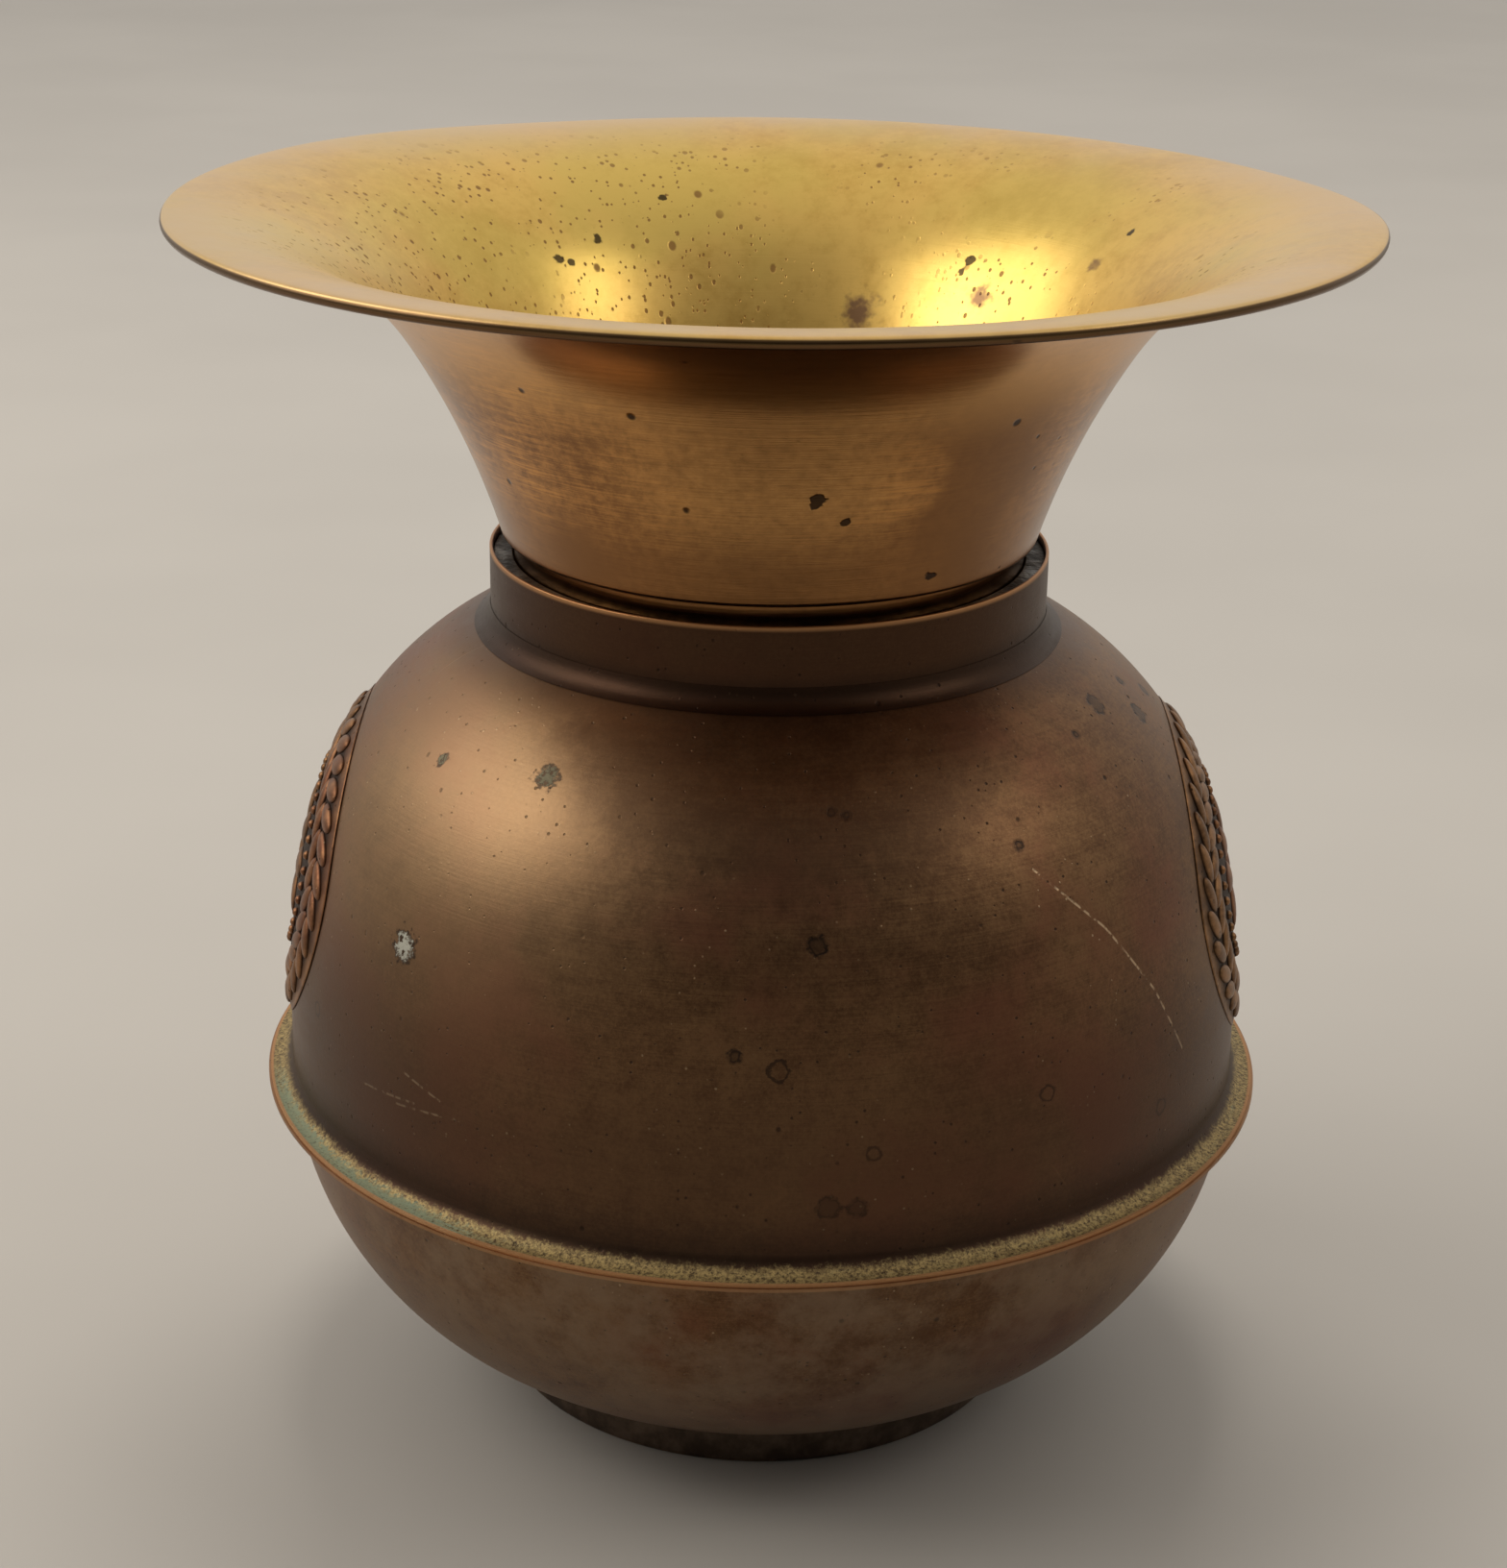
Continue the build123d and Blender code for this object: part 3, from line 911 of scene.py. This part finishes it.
def hollow_solder():
    """Outline of the solder between collar and shoulder, with a hollow face."""
    wall = Vector((collar_high.x + film, solder_high.z))
    toe = Vector((solder_high.x, solder_low.z))
    corner = Vector((collar_high.x + film, shell_high.z + film))
    across = (toe - wall).normalized()
    inward = Vector((across.y, -across.x))
    if inward.dot(corner - wall) < 0:
        inward = -inward
    face = []
    for n in range(solder_steps + 1):
        share = n / solder_steps
        face.append((wall.lerp(toe, share) + inward * solder_hollow * 4 * share * (1 - share), 0.0))
    foot = Vector((ledge_edge + film * sin(radians(shoulder_slope)), shell_high.z + film))
    return [(corner, 0.0), (foot, 0.0)] + face[::-1]


solder_brown = collar_finish("solder_tarnish")
turned("collar_solder_turned", "collar_solder", hollow_solder(), solder_brown, slot="tinned_brass")

# %% [markdown]
# ## Funnel
# The funnel is one sheet from the spigot that drops into the guide ring, over a small step, up the cone and
# out into the mouth, whose edge is rolled round a wire. Inside, it has been polished golden and is peppered
# with dark specks. Outside it is browner, with streaks rubbed round it on the spinner's bench. Its outer face
# also carries painted reflections, a golden glow and dark patches, and painted shade at the foot of the cone
# and under the rolled rim. Two materials could be given to the two faces, but they would meet in a hard line.
# So the section carries an attribute that says which face is which, and one material changes over by it. The
# rim has sagged a little at the back.

# %% Draw the funnel
spigot_radius = 54.7 * mm
cone_radius = spigot_radius + 2.7 * mm
cone_height = collar_high.z + 4.0 * mm
cone_lean = 16.8
spigot_bend = 0.8 * mm
step_bend = 1.2 * mm
mouth_run = 30.8 * mm
wire_radius = 0.3 * mm
wire_play = 0.2 * mm
roll_bore = wire_radius + wire_play
roll_turn = 270
roll_centre = funnel_high.x - roll_bore - sheet
lip_height = funnel_high.z - sheet
mouth_bend, cone_bend = two_bends(
    (roll_centre, lip_height), 180, mouth_run, (cone_radius, cone_height), 270 - cone_lean
)

cone_heading = radians(90 - cone_lean)
step_height = cone_height - step_bend * (1 - cos(cone_heading))
funnel_line = Sheet(spigot_radius, funnel_low.z, 90, sheet)
funnel_line.run(step_height - spigot_bend - funnel_low.z)
funnel_line.bend(spigot_bend, -90)
funnel_line.run(cone_radius - step_bend * sin(cone_heading) - funnel_line.end().x)
funnel_line.bend(step_bend, 90 - cone_lean)
funnel_line.bend(cone_bend[0], -cone_bend[1])
funnel_line.bend(mouth_bend[0], -mouth_bend[1])
print("lip at", round(funnel_line.end().x / mm, 2), round(funnel_line.end().y / mm, 2))
funnel_line.bend(roll_bore, -roll_turn)

# %% Colours and marks of the funnel
golden = (0.73, 0.475, 0.132, 1)
golden_deep = (0.58, 0.35, 0.085, 1)
golden_green = (0.60, 0.47, 0.115, 1)
bronze_dark = (0.22, 0.105, 0.040, 1)
bronze_warm = (0.54, 0.265, 0.086, 1)
bronze_gold = (0.74, 0.41, 0.145, 1)
orange_wear = (0.66, 0.31, 0.085, 1)
pink_bloom = (0.60, 0.41, 0.24, 1)
purple_stain = (0.13, 0.062, 0.050, 1)
# Painted shade under the rolled rim
rim_painted_shade = (0.075, 0.040, 0.022, 1)

# Marks, and the outer face's patches of painted dark reflection: place and reach in millimetres
dark_reflection_patches = ((39.8, -48.7, 212.5, 15), (42.1, -59.6, 233.0, 17), (-38.5, -44.7, 202.1, 9))
purple_spots = ((20.1, 67.4, 228.2, 3.4), (47.1, 56.7, 234.3, 2.6), (71.0, 39.7, 245.7, 1.5))
inner_pits = (
    (-49.2, 60.2, 240.9, 1.1),
    (-46.1, 61.5, 239.5, 0.9),
    (-40.5, 69.0, 244.1, 1.2),
    (-26.0, 82.8, 251.3, 1.0),
    (45.0, 63.9, 241.5, 1.0),
    (43.0, 63.1, 238.7, 1.0),
    (78.3, 41.6, 252.9, 1.1),
)
outer_pits = (
    (9.6, -65.9, 220.8, 1.5),
    (8.6, -65.3, 219.3, 0.9),
    (14.8, -62.3, 215.1, 0.8),
    (32.3, -48.8, 200.5, 1.1),
)


def spots(place, ragged, marks, soft=0.4):
    """All the spots of a list of marks, as one mask."""
    mask = 0.0
    for x, y, z, reach in marks:
        mask = spot(place, ragged, Vector((x, y, z)) * mm, reach * mm, soft) + mask
    return mask.smaller(1.0)


# %% Inner face of the funnel
bloom_rise = (95 * mm, 122 * mm)
pepper_fade = (118 * mm, 90 * mm)
peppered_side = (20 * mm, -50 * mm)
middle_radius = 75 * mm


def polished_inside(place, clouds, mottle, grain, ragged):
    """Colour of the golden inner face, and the mask of its pepper."""
    x, y, z = place.parts()
    radius = off_axis(place)
    tone = clouds * 0.4 + mottle * 0.35 + grain * 0.25
    colour = tone.between(0.36, 0.58).mix(golden_deep, golden)
    greener = place.noise(13, 4.0, 0.6).between(0.45, 0.65) * 0.45
    colour = greener.mix(colour, golden_green)
    bloom = radius.between(*bloom_rise) * (clouds + 0.2).between(0.4, 0.8) * 0.6
    colour = bloom.mix(colour, pink_bloom)
    drawn = place.gather(place.math("ARCTAN2", x, y) * middle_radius, (radius + z) * 0.5, 0.0)
    pepper = specks(drawn, 560, 0.42, 0.6 * mm).larger(specks(drawn, 260, 0.16, 1.1 * mm))
    pepper = pepper.larger(specks(drawn, 1000, 0.45, 0.4 * mm))
    crowded = place.noise(30, 2.0) + x.between(*peppered_side) * 0.28
    pepper = pepper * crowded.between(0.44, 0.62) * radius.between(*pepper_fade)
    colour = (pepper * 0.75).mix(colour, bronze_dark)
    purple = spots(place, ragged, purple_spots, soft=1.4) * (mottle + 0.2).between(0.4, 0.75)
    colour = (purple * 0.85).mix(colour, purple_stain)
    colour = (spots(place, ragged, inner_pits) * 0.9).mix(colour, stain_black)
    return colour, pepper


# %% Outer face of the funnel
worn_side = (-20 * mm, -70 * mm)
reflection_glow_middle = Vector((0, -70, 228)) * mm
reflection_glow_fade = (42 * mm, 10 * mm)
cone_shade = (220 * mm, 202 * mm)
mouth_lighter = (228 * mm, 248 * mm)


def browned_outside(place, clouds, streaks, grain, ragged):
    """Colour of the browner outer face with its painted reflections and shade, and the mask of its pits."""
    x, _, z = place.parts()
    tone = streaks * 0.35 + clouds * 0.35 + grain * 0.3
    colour = tone.between(0.39, 0.61).mix(bronze_dark, bronze_warm)
    wear = streaks.between(0.52, 0.64) * (clouds + x.between(*worn_side) * 0.12).between(0.45, 0.62)
    colour = (wear * 0.9).mix(colour, orange_wear)
    # Painted reflection: a golden glow in the middle of the front
    reflection_glow = place.distance(reflection_glow_middle).between(*reflection_glow_fade) * (0.2 + grain * 0.6)
    colour = reflection_glow.mix(colour, bronze_gold)
    # Painted reflection: dark patches at the sides of the glow
    colour = (spots(place, clouds, dark_reflection_patches, soft=1.2) * 0.85).mix(colour, bronze_dark)
    # Painted shade: the cone darker towards its foot
    colour = (z.between(*cone_shade) * 0.75).mix(colour, bronze_dark)
    # Lighter towards the mouth
    colour = (z.between(*mouth_lighter) * 0.6).mix(colour, bronze_gold)
    pits = specks(place, 190, 0.12, 1.3 * mm).larger(spots(place, ragged, outer_pits))
    colour = (pits * 0.9).mix(colour, stain_black)
    return colour, pits


# %% Finish of the funnel
# Where painted shade darkens the underside of the rolled rim
rim_side = (funnel_high.x - 1.0 * mm, funnel_high.x - 0.6 * mm)
rim_under = (funnel_high.z - 0.3 * mm, funnel_high.z - 0.6 * mm)
funnel_depth = 0.08 * mm


def funnel_finish():
    material, shader, place = start_finish("funnel_brass")
    inner = place.node("ShaderNodeAttribute", {"attribute_name": "inner_face"}, None, "Fac").between(0.3, 0.7)
    ragged = place.noise(420, 2.0)
    clouds = place.noise(20, 5.0, 0.6)
    mottle = place.noise(130, 4.0, 0.62)
    grain = place.noise(420, 4.0, 0.7)
    turning = around(place, 700).noise(3.0, 4.0, 0.65)
    streaks = around(place, 420).noise(5.0, 5.0, 0.7)

    polished, pepper = polished_inside(place, clouds, mottle, grain, ragged)
    brown, pits = browned_outside(place, clouds, streaks, grain, ragged)
    # Painted shade: the underside of the rolled rim darkened
    rolled = off_axis(place).between(*rim_side) * place.parts()[2].between(*rim_under)
    colour = (rolled * 0.9).mix(inner.mix(brown, polished), rim_painted_shade)
    roughness = inner * (0.27 + mottle * 0.12 + pepper * 0.2) + (1 - inner) * (0.15 + streaks * 0.16)
    height = mottle * 0.2 + turning * 0.25 - inner * pepper * 0.8 - (1 - inner) * pits * 0.8
    feed(shader, Base_Color=colour, Metallic=1.0, Roughness=roughness, Normal=bump(height, funnel_depth))
    return material


# %% Turn the funnel, with its sag
rolled_share = 0.7
rolled_steps = round(least_bend_steps * rolled_share)
sag_side = radians(20)
sag = {
    "Sag Towards": (sin(sag_side), cos(sag_side), 0.0),
    "Sag Start": 20 * mm,
    "Sag End": 100 * mm,
    "Sag Foot": 215 * mm,
    "Sag Top": 262 * mm,
    "Sag Depth": 2.0 * mm,
}
funnel_outline = funnel_line.outline(rolled=rolled_steps)
turned("funnel_turned", "funnel", funnel_outline, funnel_finish(), body="funnel", slot="mouth_brass", **sag)

# %% Draw the wire in the rim
wire_centre = Vector((roll_centre, lip_height - roll_bore))
wire_steps = 12
wire_grey = (0.12, 0.115, 0.11, 1)
wire_rust = (0.11, 0.045, 0.02, 1)
wire_depth = 0.05 * mm
wire_outline = []
for step in range(wire_steps):
    turn = 2 * pi * step / wire_steps
    wire_outline.append((wire_centre + Vector((cos(turn), sin(turn))) * wire_radius, 0.0))


def wire_finish():
    material, shader, place = start_finish("wire_iron")
    rust = place.noise(300, 4.0, 0.6).between(0.4, 0.65)
    feed(shader, Base_Color=rust.mix(wire_grey, wire_rust), Metallic=0.8, Roughness=0.4 + rust * 0.4)
    feed(shader, Normal=bump(rust, wire_depth))
    return material


turned("rim_wire_turned", "rim_wire", wire_outline, wire_finish(), body="funnel", slot="iron_wire", **sag)

# %% [markdown]
# ## Foot, base plate and ballast
# The foot is a low band, turned in at the floor and cut to the bowl above. It has gone nearly black. A
# Boolean modifier could cut it, but the bowl's height at a radius is known, so the top of the section is put
# there. The plate that closes the foot, the iron disc above the plate and the solder in the belt's seam are
# hidden. Their solids are fine enough to stay, and only get a finish.

# %% Draw the foot
foot_wall = 1.0 * mm
foot_bend = 1.6 * mm
foot_turn_in = 9.0 * mm
foot_line = Sheet(foot_high.x - foot_turn_in, foot_low.z, 0, foot_wall)
foot_line.run(foot_turn_in - foot_bend)
foot_line.bend(foot_bend, 90)
bowl_centre = Vector((bowl_floor_radius, bowl_low.z + bowl_bend))


def bowl_under(radius):
    """Height of the bowl's underside, less the film of solder."""
    return bowl_centre.y - sqrt((bowl_bend + film) ** 2 - (radius - bowl_centre.x) ** 2)


foot_line.run(bowl_under(foot_high.x - foot_wall) - foot_line.end().y)
foot_outline = foot_line.outline()
outer_top = len(foot_line.walk) - 1
foot_outline[outer_top] = (Vector((foot_high.x, bowl_under(foot_high.x))), 0.0)
print("foot meets the bowl at", round(bowl_under(foot_high.x) / mm, 2))

# %% Finish of the foot
foot_black = (0.085, 0.060, 0.044, 1)
foot_brown = (0.19, 0.138, 0.10, 1)
foot_rub = (1.6 * mm, 0.2 * mm)
foot_depth = 0.15 * mm


def foot_finish():
    material, shader, place = start_finish("foot_tarnish")
    mottle = place.noise(110, 5.0, 0.65)
    colour = mottle.between(0.4, 0.7).mix(foot_black, foot_brown)
    rubbed = place.parts()[2].between(*foot_rub) * mottle.between(0.4, 0.6)
    colour = (rubbed * 0.6).mix(colour, tarnish_warm)
    feed(shader, Base_Color=colour, Metallic=1.0, Roughness=0.42 + mottle * 0.2)
    feed(shader, Normal=bump(mottle, foot_depth))
    return material


foot_dark = foot_finish()
turned("foot_turned", "foot_ring", foot_outline, foot_dark, slot="foot_brass", Waver=0.0)

# %% Finish the solids that stay
iron_black = (0.035, 0.032, 0.03, 1)
iron_rust = (0.085, 0.045, 0.028, 1)
iron_pits = 0.4 * mm
seam_dark = (0.10, 0.10, 0.095, 1)
seam_light = (0.26, 0.25, 0.23, 1)
seam_lumps = 0.3 * mm


def iron_finish():
    material, shader, place = start_finish("ballast_iron")
    pitted = place.noise(180, 5.0, 0.65)
    colour = pitted.between(0.4, 0.65).mix(iron_black, iron_rust)
    feed(shader, Base_Color=colour, Metallic=0.7, Roughness=0.65, Normal=bump(pitted, iron_pits))
    return material


seam_grey = solder_finish("seam_solder", seam_dark, seam_light, seam_lumps, stains=0.5)
for node, material in (("base_plate", foot_dark), ("ballast", iron_finish()), ("belt_solder", seam_grey)):
    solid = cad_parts[node]
    solid.data.materials.clear()
    solid.data.materials.append(material)
    print("solid kept:", node)

# %% [markdown]
# ## Side badges
# On each side sits an oval plate with a stamped relief. A height map could press the relief into the shell,
# but it would need a very fine mesh and blur the steep sides. So the plate is made as in a workshop: flat
# first, then bent round the shell. It is a round grid that runs out thin at its edge, so that it lies on the
# shell without a step. Node instances add what repeats: two rows of leaves along the edge, a row of beads,
# petals round a heart. Bending moves every point onto the shell, out along the shell's own slope.

# %% Sizes of the badge
badge_half_width = badge_high.y
badge_half_height = (badge_high.z - badge_low.z) / 2
badge_middle = (badge_high.z + badge_low.z) / 2
badge_thickness = 1.6 * mm
field_thickness = 0.45 * mm
outer_leaf_oval = 0.87
inner_leaf_oval = 0.73
bead_oval = 0.56
oval_points = 128
print("badge", round(2 * badge_half_width / mm, 1), "by", round(2 * badge_half_height / mm, 1), "mm")
ornament_inputs = {
    "Plate": ("Geometry", None),
    "Oval": ("Vector", (badge_half_width, badge_half_height, 1.0)),
    "Height": ("Float", field_thickness),
    "Leaf Count": ("Int", 32),
    "Leaf Size": ("Vector", (4.6 * mm, 2.0 * mm, 1.0 * mm)),
    "Leaf Tilt": ("Float", radians(32)),
    "Bead Count": ("Int", 40),
    "Bead Radius": ("Float", 1.05 * mm),
    "Petal Count": ("Int", 8),
    "Petal Ring": ("Float", 10.0 * mm),
    "Petal Size": ("Vector", (6.2 * mm, 2.9 * mm, 1.1 * mm)),
    "Material": ("Material", None),
}

# %% Build the badge's node tree
def build_ornament():
    """Leaves and beads along ovals and petals in a ring, on the plate that comes in."""
    tree, given = start_tree("badge_ornament", ornament_inputs)
    plate = given["Plate"]
    leaves, leaf_size, tilt = given["Leaf Count"], given["Leaf Size"], given["Leaf Tilt"]
    lift = plate.gather(0.0, 0.0, given["Height"])
    blob = plate.node("GeometryNodeMeshIcoSphere", None, {"Radius": 1.0, "Subdivisions": 3})

    def circle(count, radius):
        return plate.node("GeometryNodeCurvePrimitiveCircle", None, {"Resolution": count, "Radius": radius})

    def along_oval(share, count):
        """Points along an oval that is a share of the badge's size."""
        path = circle(oval_points, share)
        stretch = {"Geometry": path, "Translation": lift, "Scale": given["Oval"]}
        path = path.node("GeometryNodeTransform", None, stretch)
        return path.node("GeometryNodeResampleCurve", None, {"Curve": path, "Count": count})

    def leaning(way, angle):
        """A direction turned on the plate."""
        sockets = {"Vector": way, "Angle": angle}
        return way.node("ShaderNodeVectorRotate", {"rotation_type": "Z_AXIS"}, sockets)

    def place_on(points, heading, size):
        """A blob of some size on every point, its length along a heading."""
        turn = points.node("FunctionNodeAlignEulerToVector", {"axis": "X"}, {"Vector": heading})
        sockets = {"Points": points, "Instance": blob, "Rotation": turn, "Scale": size}
        return points.node("GeometryNodeInstanceOnPoints", None, sockets)

    along = plate.node("GeometryNodeInputTangent")
    round_bead = plate.gather(*[given["Bead Radius"]] * 3)
    hub = circle(given["Petal Count"], given["Petal Ring"])
    hub = hub.node("GeometryNodeSetPosition", None, {"Geometry": hub, "Offset": lift})
    here = plate.node("GeometryNodeInputPosition")
    outwards = here.vector("MULTIPLY", here, (1.0, 1.0, 0.0))
    rows = [
        place_on(along_oval(outer_leaf_oval, leaves), leaning(along, tilt), leaf_size),
        place_on(along_oval(inner_leaf_oval, leaves), leaning(along, 0 - tilt), leaf_size),
        place_on(along_oval(bead_oval, given["Bead Count"]), along, round_bead),
        place_on(hub, outwards, given["Petal Size"]),
    ]
    joined = plate.node("GeometryNodeJoinGeometry")
    for part in [plate] + rows:
        tree.links.new(part.socket, joined.socket.node.inputs[0])
    end_tree(tree, joined, given["Material"])
    return tree


ornament = build_ornament()

# %% Stamp the flat plate
plate_rings = 56
plate_spokes = 160
back_rings = 12
edge_thickness = 0.12 * mm
edge_run = 3.0 * mm
heart_radius = 4.4 * mm
heart_flat = 0.3


def soft_step(value, low, high):
    """0 at low and 1 at high, with soft ends."""
    share = np.clip((value - low) / (high - low), 0, 1)
    return share * share * (3 - 2 * share)


def oval_share(across, up):
    """0 in the middle of the badge and 1 at its edge."""
    return np.sqrt((across / badge_half_width) ** 2 + (up / badge_half_height) ** 2)


def face_height(across, up):
    """Height of the plate's face: thin at the edge, a flat field, a round heart."""
    inset = (1 - oval_share(across, up)) * badge_half_height
    field = edge_thickness + (field_thickness - edge_thickness) * soft_step(inset, 0, edge_run)
    from_heart = np.sqrt(across**2 + up**2)
    heart = soft_step(from_heart, heart_radius, heart_radius * heart_flat)
    return field + (badge_thickness - field_thickness) * heart


def flat_plate(name):
    """The stamped face and the plain back of a plate, closed round its edge."""
    spokes = np.linspace(0, 2 * pi, plate_spokes, endpoint=False)
    face_rings = [(share, 1) for share in np.linspace(0, 1, plate_rings + 1)[1:]]
    plain_rings = [(share, 0) for share in np.linspace(1, 0, back_rings + 1)[:-1]]
    vertices = [(0.0, 0.0, badge_thickness)]
    for share, stamped in face_rings + plain_rings:
        across = badge_half_width * share * np.cos(spokes)
        up = badge_half_height * share * np.sin(spokes)
        vertices += list(zip(across, up, face_height(across, up) * stamped))
    vertices.append((0.0, 0.0, 0.0))
    around_plate = [(n, (n + 1) % plate_spokes) for n in range(plate_spokes)]
    faces = [(0, 1 + n, 1 + after) for n, after in around_plate]
    rows = plate_rings + back_rings
    for row in range(rows - 1):
        start = 1 + row * plate_spokes
        below = start + plate_spokes
        faces += [(start + n, below + n, below + after, start + after) for n, after in around_plate]
    last = 1 + (rows - 1) * plate_spokes
    faces += [(last + n, len(vertices) - 1, last + after) for n, after in around_plate]
    mesh = bpy.data.meshes.new(name)
    mesh.from_pydata([tuple(map(float, vertex)) for vertex in vertices], [], faces)
    return mesh


# %% Bend a flat badge round the shell
slope_step = 0.5 * mm


def points_of(mesh):
    """Across, up and height of every point of a flat badge."""
    flat = np.zeros(len(mesh.vertices) * 3)
    mesh.vertices.foreach_get("co", flat)
    return flat.reshape(-1, 3).T


def bend_to_shell(mesh, side):
    """Move a flat badge's points onto the shell, on the right for side 1 and on the left for side -1."""
    across, up, height = points_of(mesh)
    level = badge_middle + up
    radius = shell_radius(level)
    slope = (shell_radius(level + slope_step) - shell_radius(level - slope_step)) / (2 * slope_step)
    out = np.sqrt(np.maximum(radius**2 - across**2, 0))
    normal = np.stack([out / radius, across / radius, -slope], axis=1)
    normal /= np.linalg.norm(normal, axis=1, keepdims=True)
    place = np.stack([out, across, level], axis=1) + normal * (film + height)[:, None]
    place[:, :2] *= side
    mesh.vertices.foreach_set("co", place.ravel())
    mesh.update()


# %% Finish of the badges
hollow_top = badge_thickness * 0.65
hollow_end = (0.90, 0.99)
badge_depth = 0.12 * mm


def mark_hollows(mesh):
    """An attribute that is 1 in the hollows of the relief, and 0 on its heights and at the plate's edge."""
    across, up, height = points_of(mesh)
    hollow = 1 - soft_step(height, field_thickness, hollow_top)
    hollow *= 1 - soft_step(oval_share(across, up), *hollow_end)
    mesh.attributes.new("hollow", "FLOAT", "POINT").data.foreach_set("value", hollow)


def badge_finish():
    """The shell's own tarnish, black in the hollows and a little rubbed on the heights."""
    material, shader, place = start_finish("badge_brass")
    colour, roughness, height, mottle = brown_brass(place, 0.0)
    hollow = place.node("ShaderNodeAttribute", {"attribute_name": "hollow"}, None, "Fac")
    colour = ((1 - hollow) * mottle.between(0.4, 0.65) * 0.35).mix(colour, copper_edge)
    colour = (hollow * 0.9).mix(colour, stain_black)
    feed(shader, Base_Color=colour, Metallic=1.0, Roughness=roughness + hollow * 0.25)
    feed(shader, Normal=bump(height, badge_depth))
    return material


# %% Make both badges
stamped_brass = badge_finish()
for name, side in (("badge_right", 1), ("badge_left", -1)):
    badge = through_nodes(name + "_stamped", flat_plate(name), ornament, Material=stamped_brass)
    mark_hollows(badge.data)
    bend_to_shell(badge.data, side)
    volume, open_edges = turn_outwards(badge.data)
    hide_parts(name)
    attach(badge, "vessel")
    print(name, len(badge.data.polygons), "faces,", round(volume), "mm3,", open_edges, "open edges")

# %% [markdown]
# ## Floor and light
# The photograph was taken on a pale sheet, in a room that is bright above and behind and dim on the camera's
# side. A flat floor that reaches past the picture's upper edge is the whole background. Brass mirrors the
# room, so the room matters more than the lamps. A picture of a room could be wrapped round the scene. An even
# change of brightness, up with height and towards the back, is enough here and the same for every ray. A
# broad lamp with a brighter core stands on the left, where the highlights on belly and funnel point to, and a
# small one on the right. One more hangs behind, high up. It draws the object's shadow towards the camera, and
# the metal does not mirror it.

# %% Lay the floor
floor_reach = 6.0
paper_dark = (0.41, 0.388, 0.36, 1)
paper_pale = (0.44, 0.417, 0.387, 1)
floor_mesh = bpy.data.meshes.new("floor")
corners = [(-floor_reach, -floor_reach, 0), (floor_reach, -floor_reach, 0)]
corners += [(floor_reach, floor_reach, 0), (-floor_reach, floor_reach, 0)]
floor_mesh.from_pydata(corners, [], [(0, 1, 2, 3)])
floor = bpy.data.objects.new("floor", floor_mesh)
scene.collection.objects.link(floor)
paper, paper_shader, paper_place = start_finish("pale_paper")
paper_tone = paper_place.noise(3.0, 3.0).between(0.3, 0.7)
feed(paper_shader, Base_Color=paper_tone.mix(paper_dark, paper_pale), Roughness=0.6)
floor_mesh.materials.append(paper)
print("floor", 2 * floor_reach, "m wide")

# %% Hang the lamps
lamp_colour = (1.0, 0.95, 0.87)
lamp_target = Vector((0, 0, 0.12))


def lamp(name, azimuth, elevation, distance, width, height, radiance, mirrored=True):
    """A lamp that looks at the belly, as bright as its radiance. Azimuth counts from behind to the right."""
    data = bpy.data.lights.new(name, "AREA")
    data.shape = "RECTANGLE"
    data.size = width
    data.size_y = height
    data.energy = radiance * pi * width * height
    data.color = lamp_colour
    flat = cos(radians(elevation))
    aim = Vector((sin(radians(azimuth)) * flat, cos(radians(azimuth)) * flat, sin(radians(elevation))))
    made = bpy.data.objects.new(name, data)
    made.location = lamp_target + aim * distance
    made.rotation_euler = (-aim).to_track_quat("-Z", "Y").to_euler()
    made.visible_glossy = mirrored
    made.visible_camera = False
    scene.collection.objects.link(made)
    print(name, round(data.energy, 1), "W")


lamp("left_lamp", -90, 38, distance=2.0, width=1.8, height=1.25, radiance=2.4)
lamp("left_core", -104, 39, distance=2.0, width=0.5, height=0.5, radiance=3.4)
lamp("right_lamp", 105, 41, distance=2.0, width=0.62, height=0.62, radiance=3.2)
lamp("floor_lamp", 0, 70, distance=3.0, width=1.0, height=0.6, radiance=18.0, mirrored=False)

# %% Dim the room
room_colour = (1.0, 0.95, 0.88, 1)
room_middle = 0.34
room_back = 0.45
room_rise = 0.38
room_least = 0.02
world = bpy.data.worlds.new("room")
world.use_nodes = True
room = world.node_tree
look = Flow(room, room.nodes.new("ShaderNodeTexCoord").outputs["Generated"])
_, back, rise = look.parts()
brightness = (room_middle + back * room_back + rise * room_rise).larger(room_least)
background = room.nodes["Background"]
background.inputs["Color"].default_value = room_colour
room.links.new(brightness.socket, background.inputs["Strength"])
scene.world = world
scene.view_settings.view_transform = "Standard"
print("room", room_middle + room_back, "behind,", max(room_middle - room_back, room_least), "in front")

# %% [markdown]
# ## Sizes
# Looks must not change the object's size. The box of the solids is printed before the frame is closed.

# %% Print the solids' box
print("solids ", [round(v / mm, 2) for corner in solid_box for v in corner])
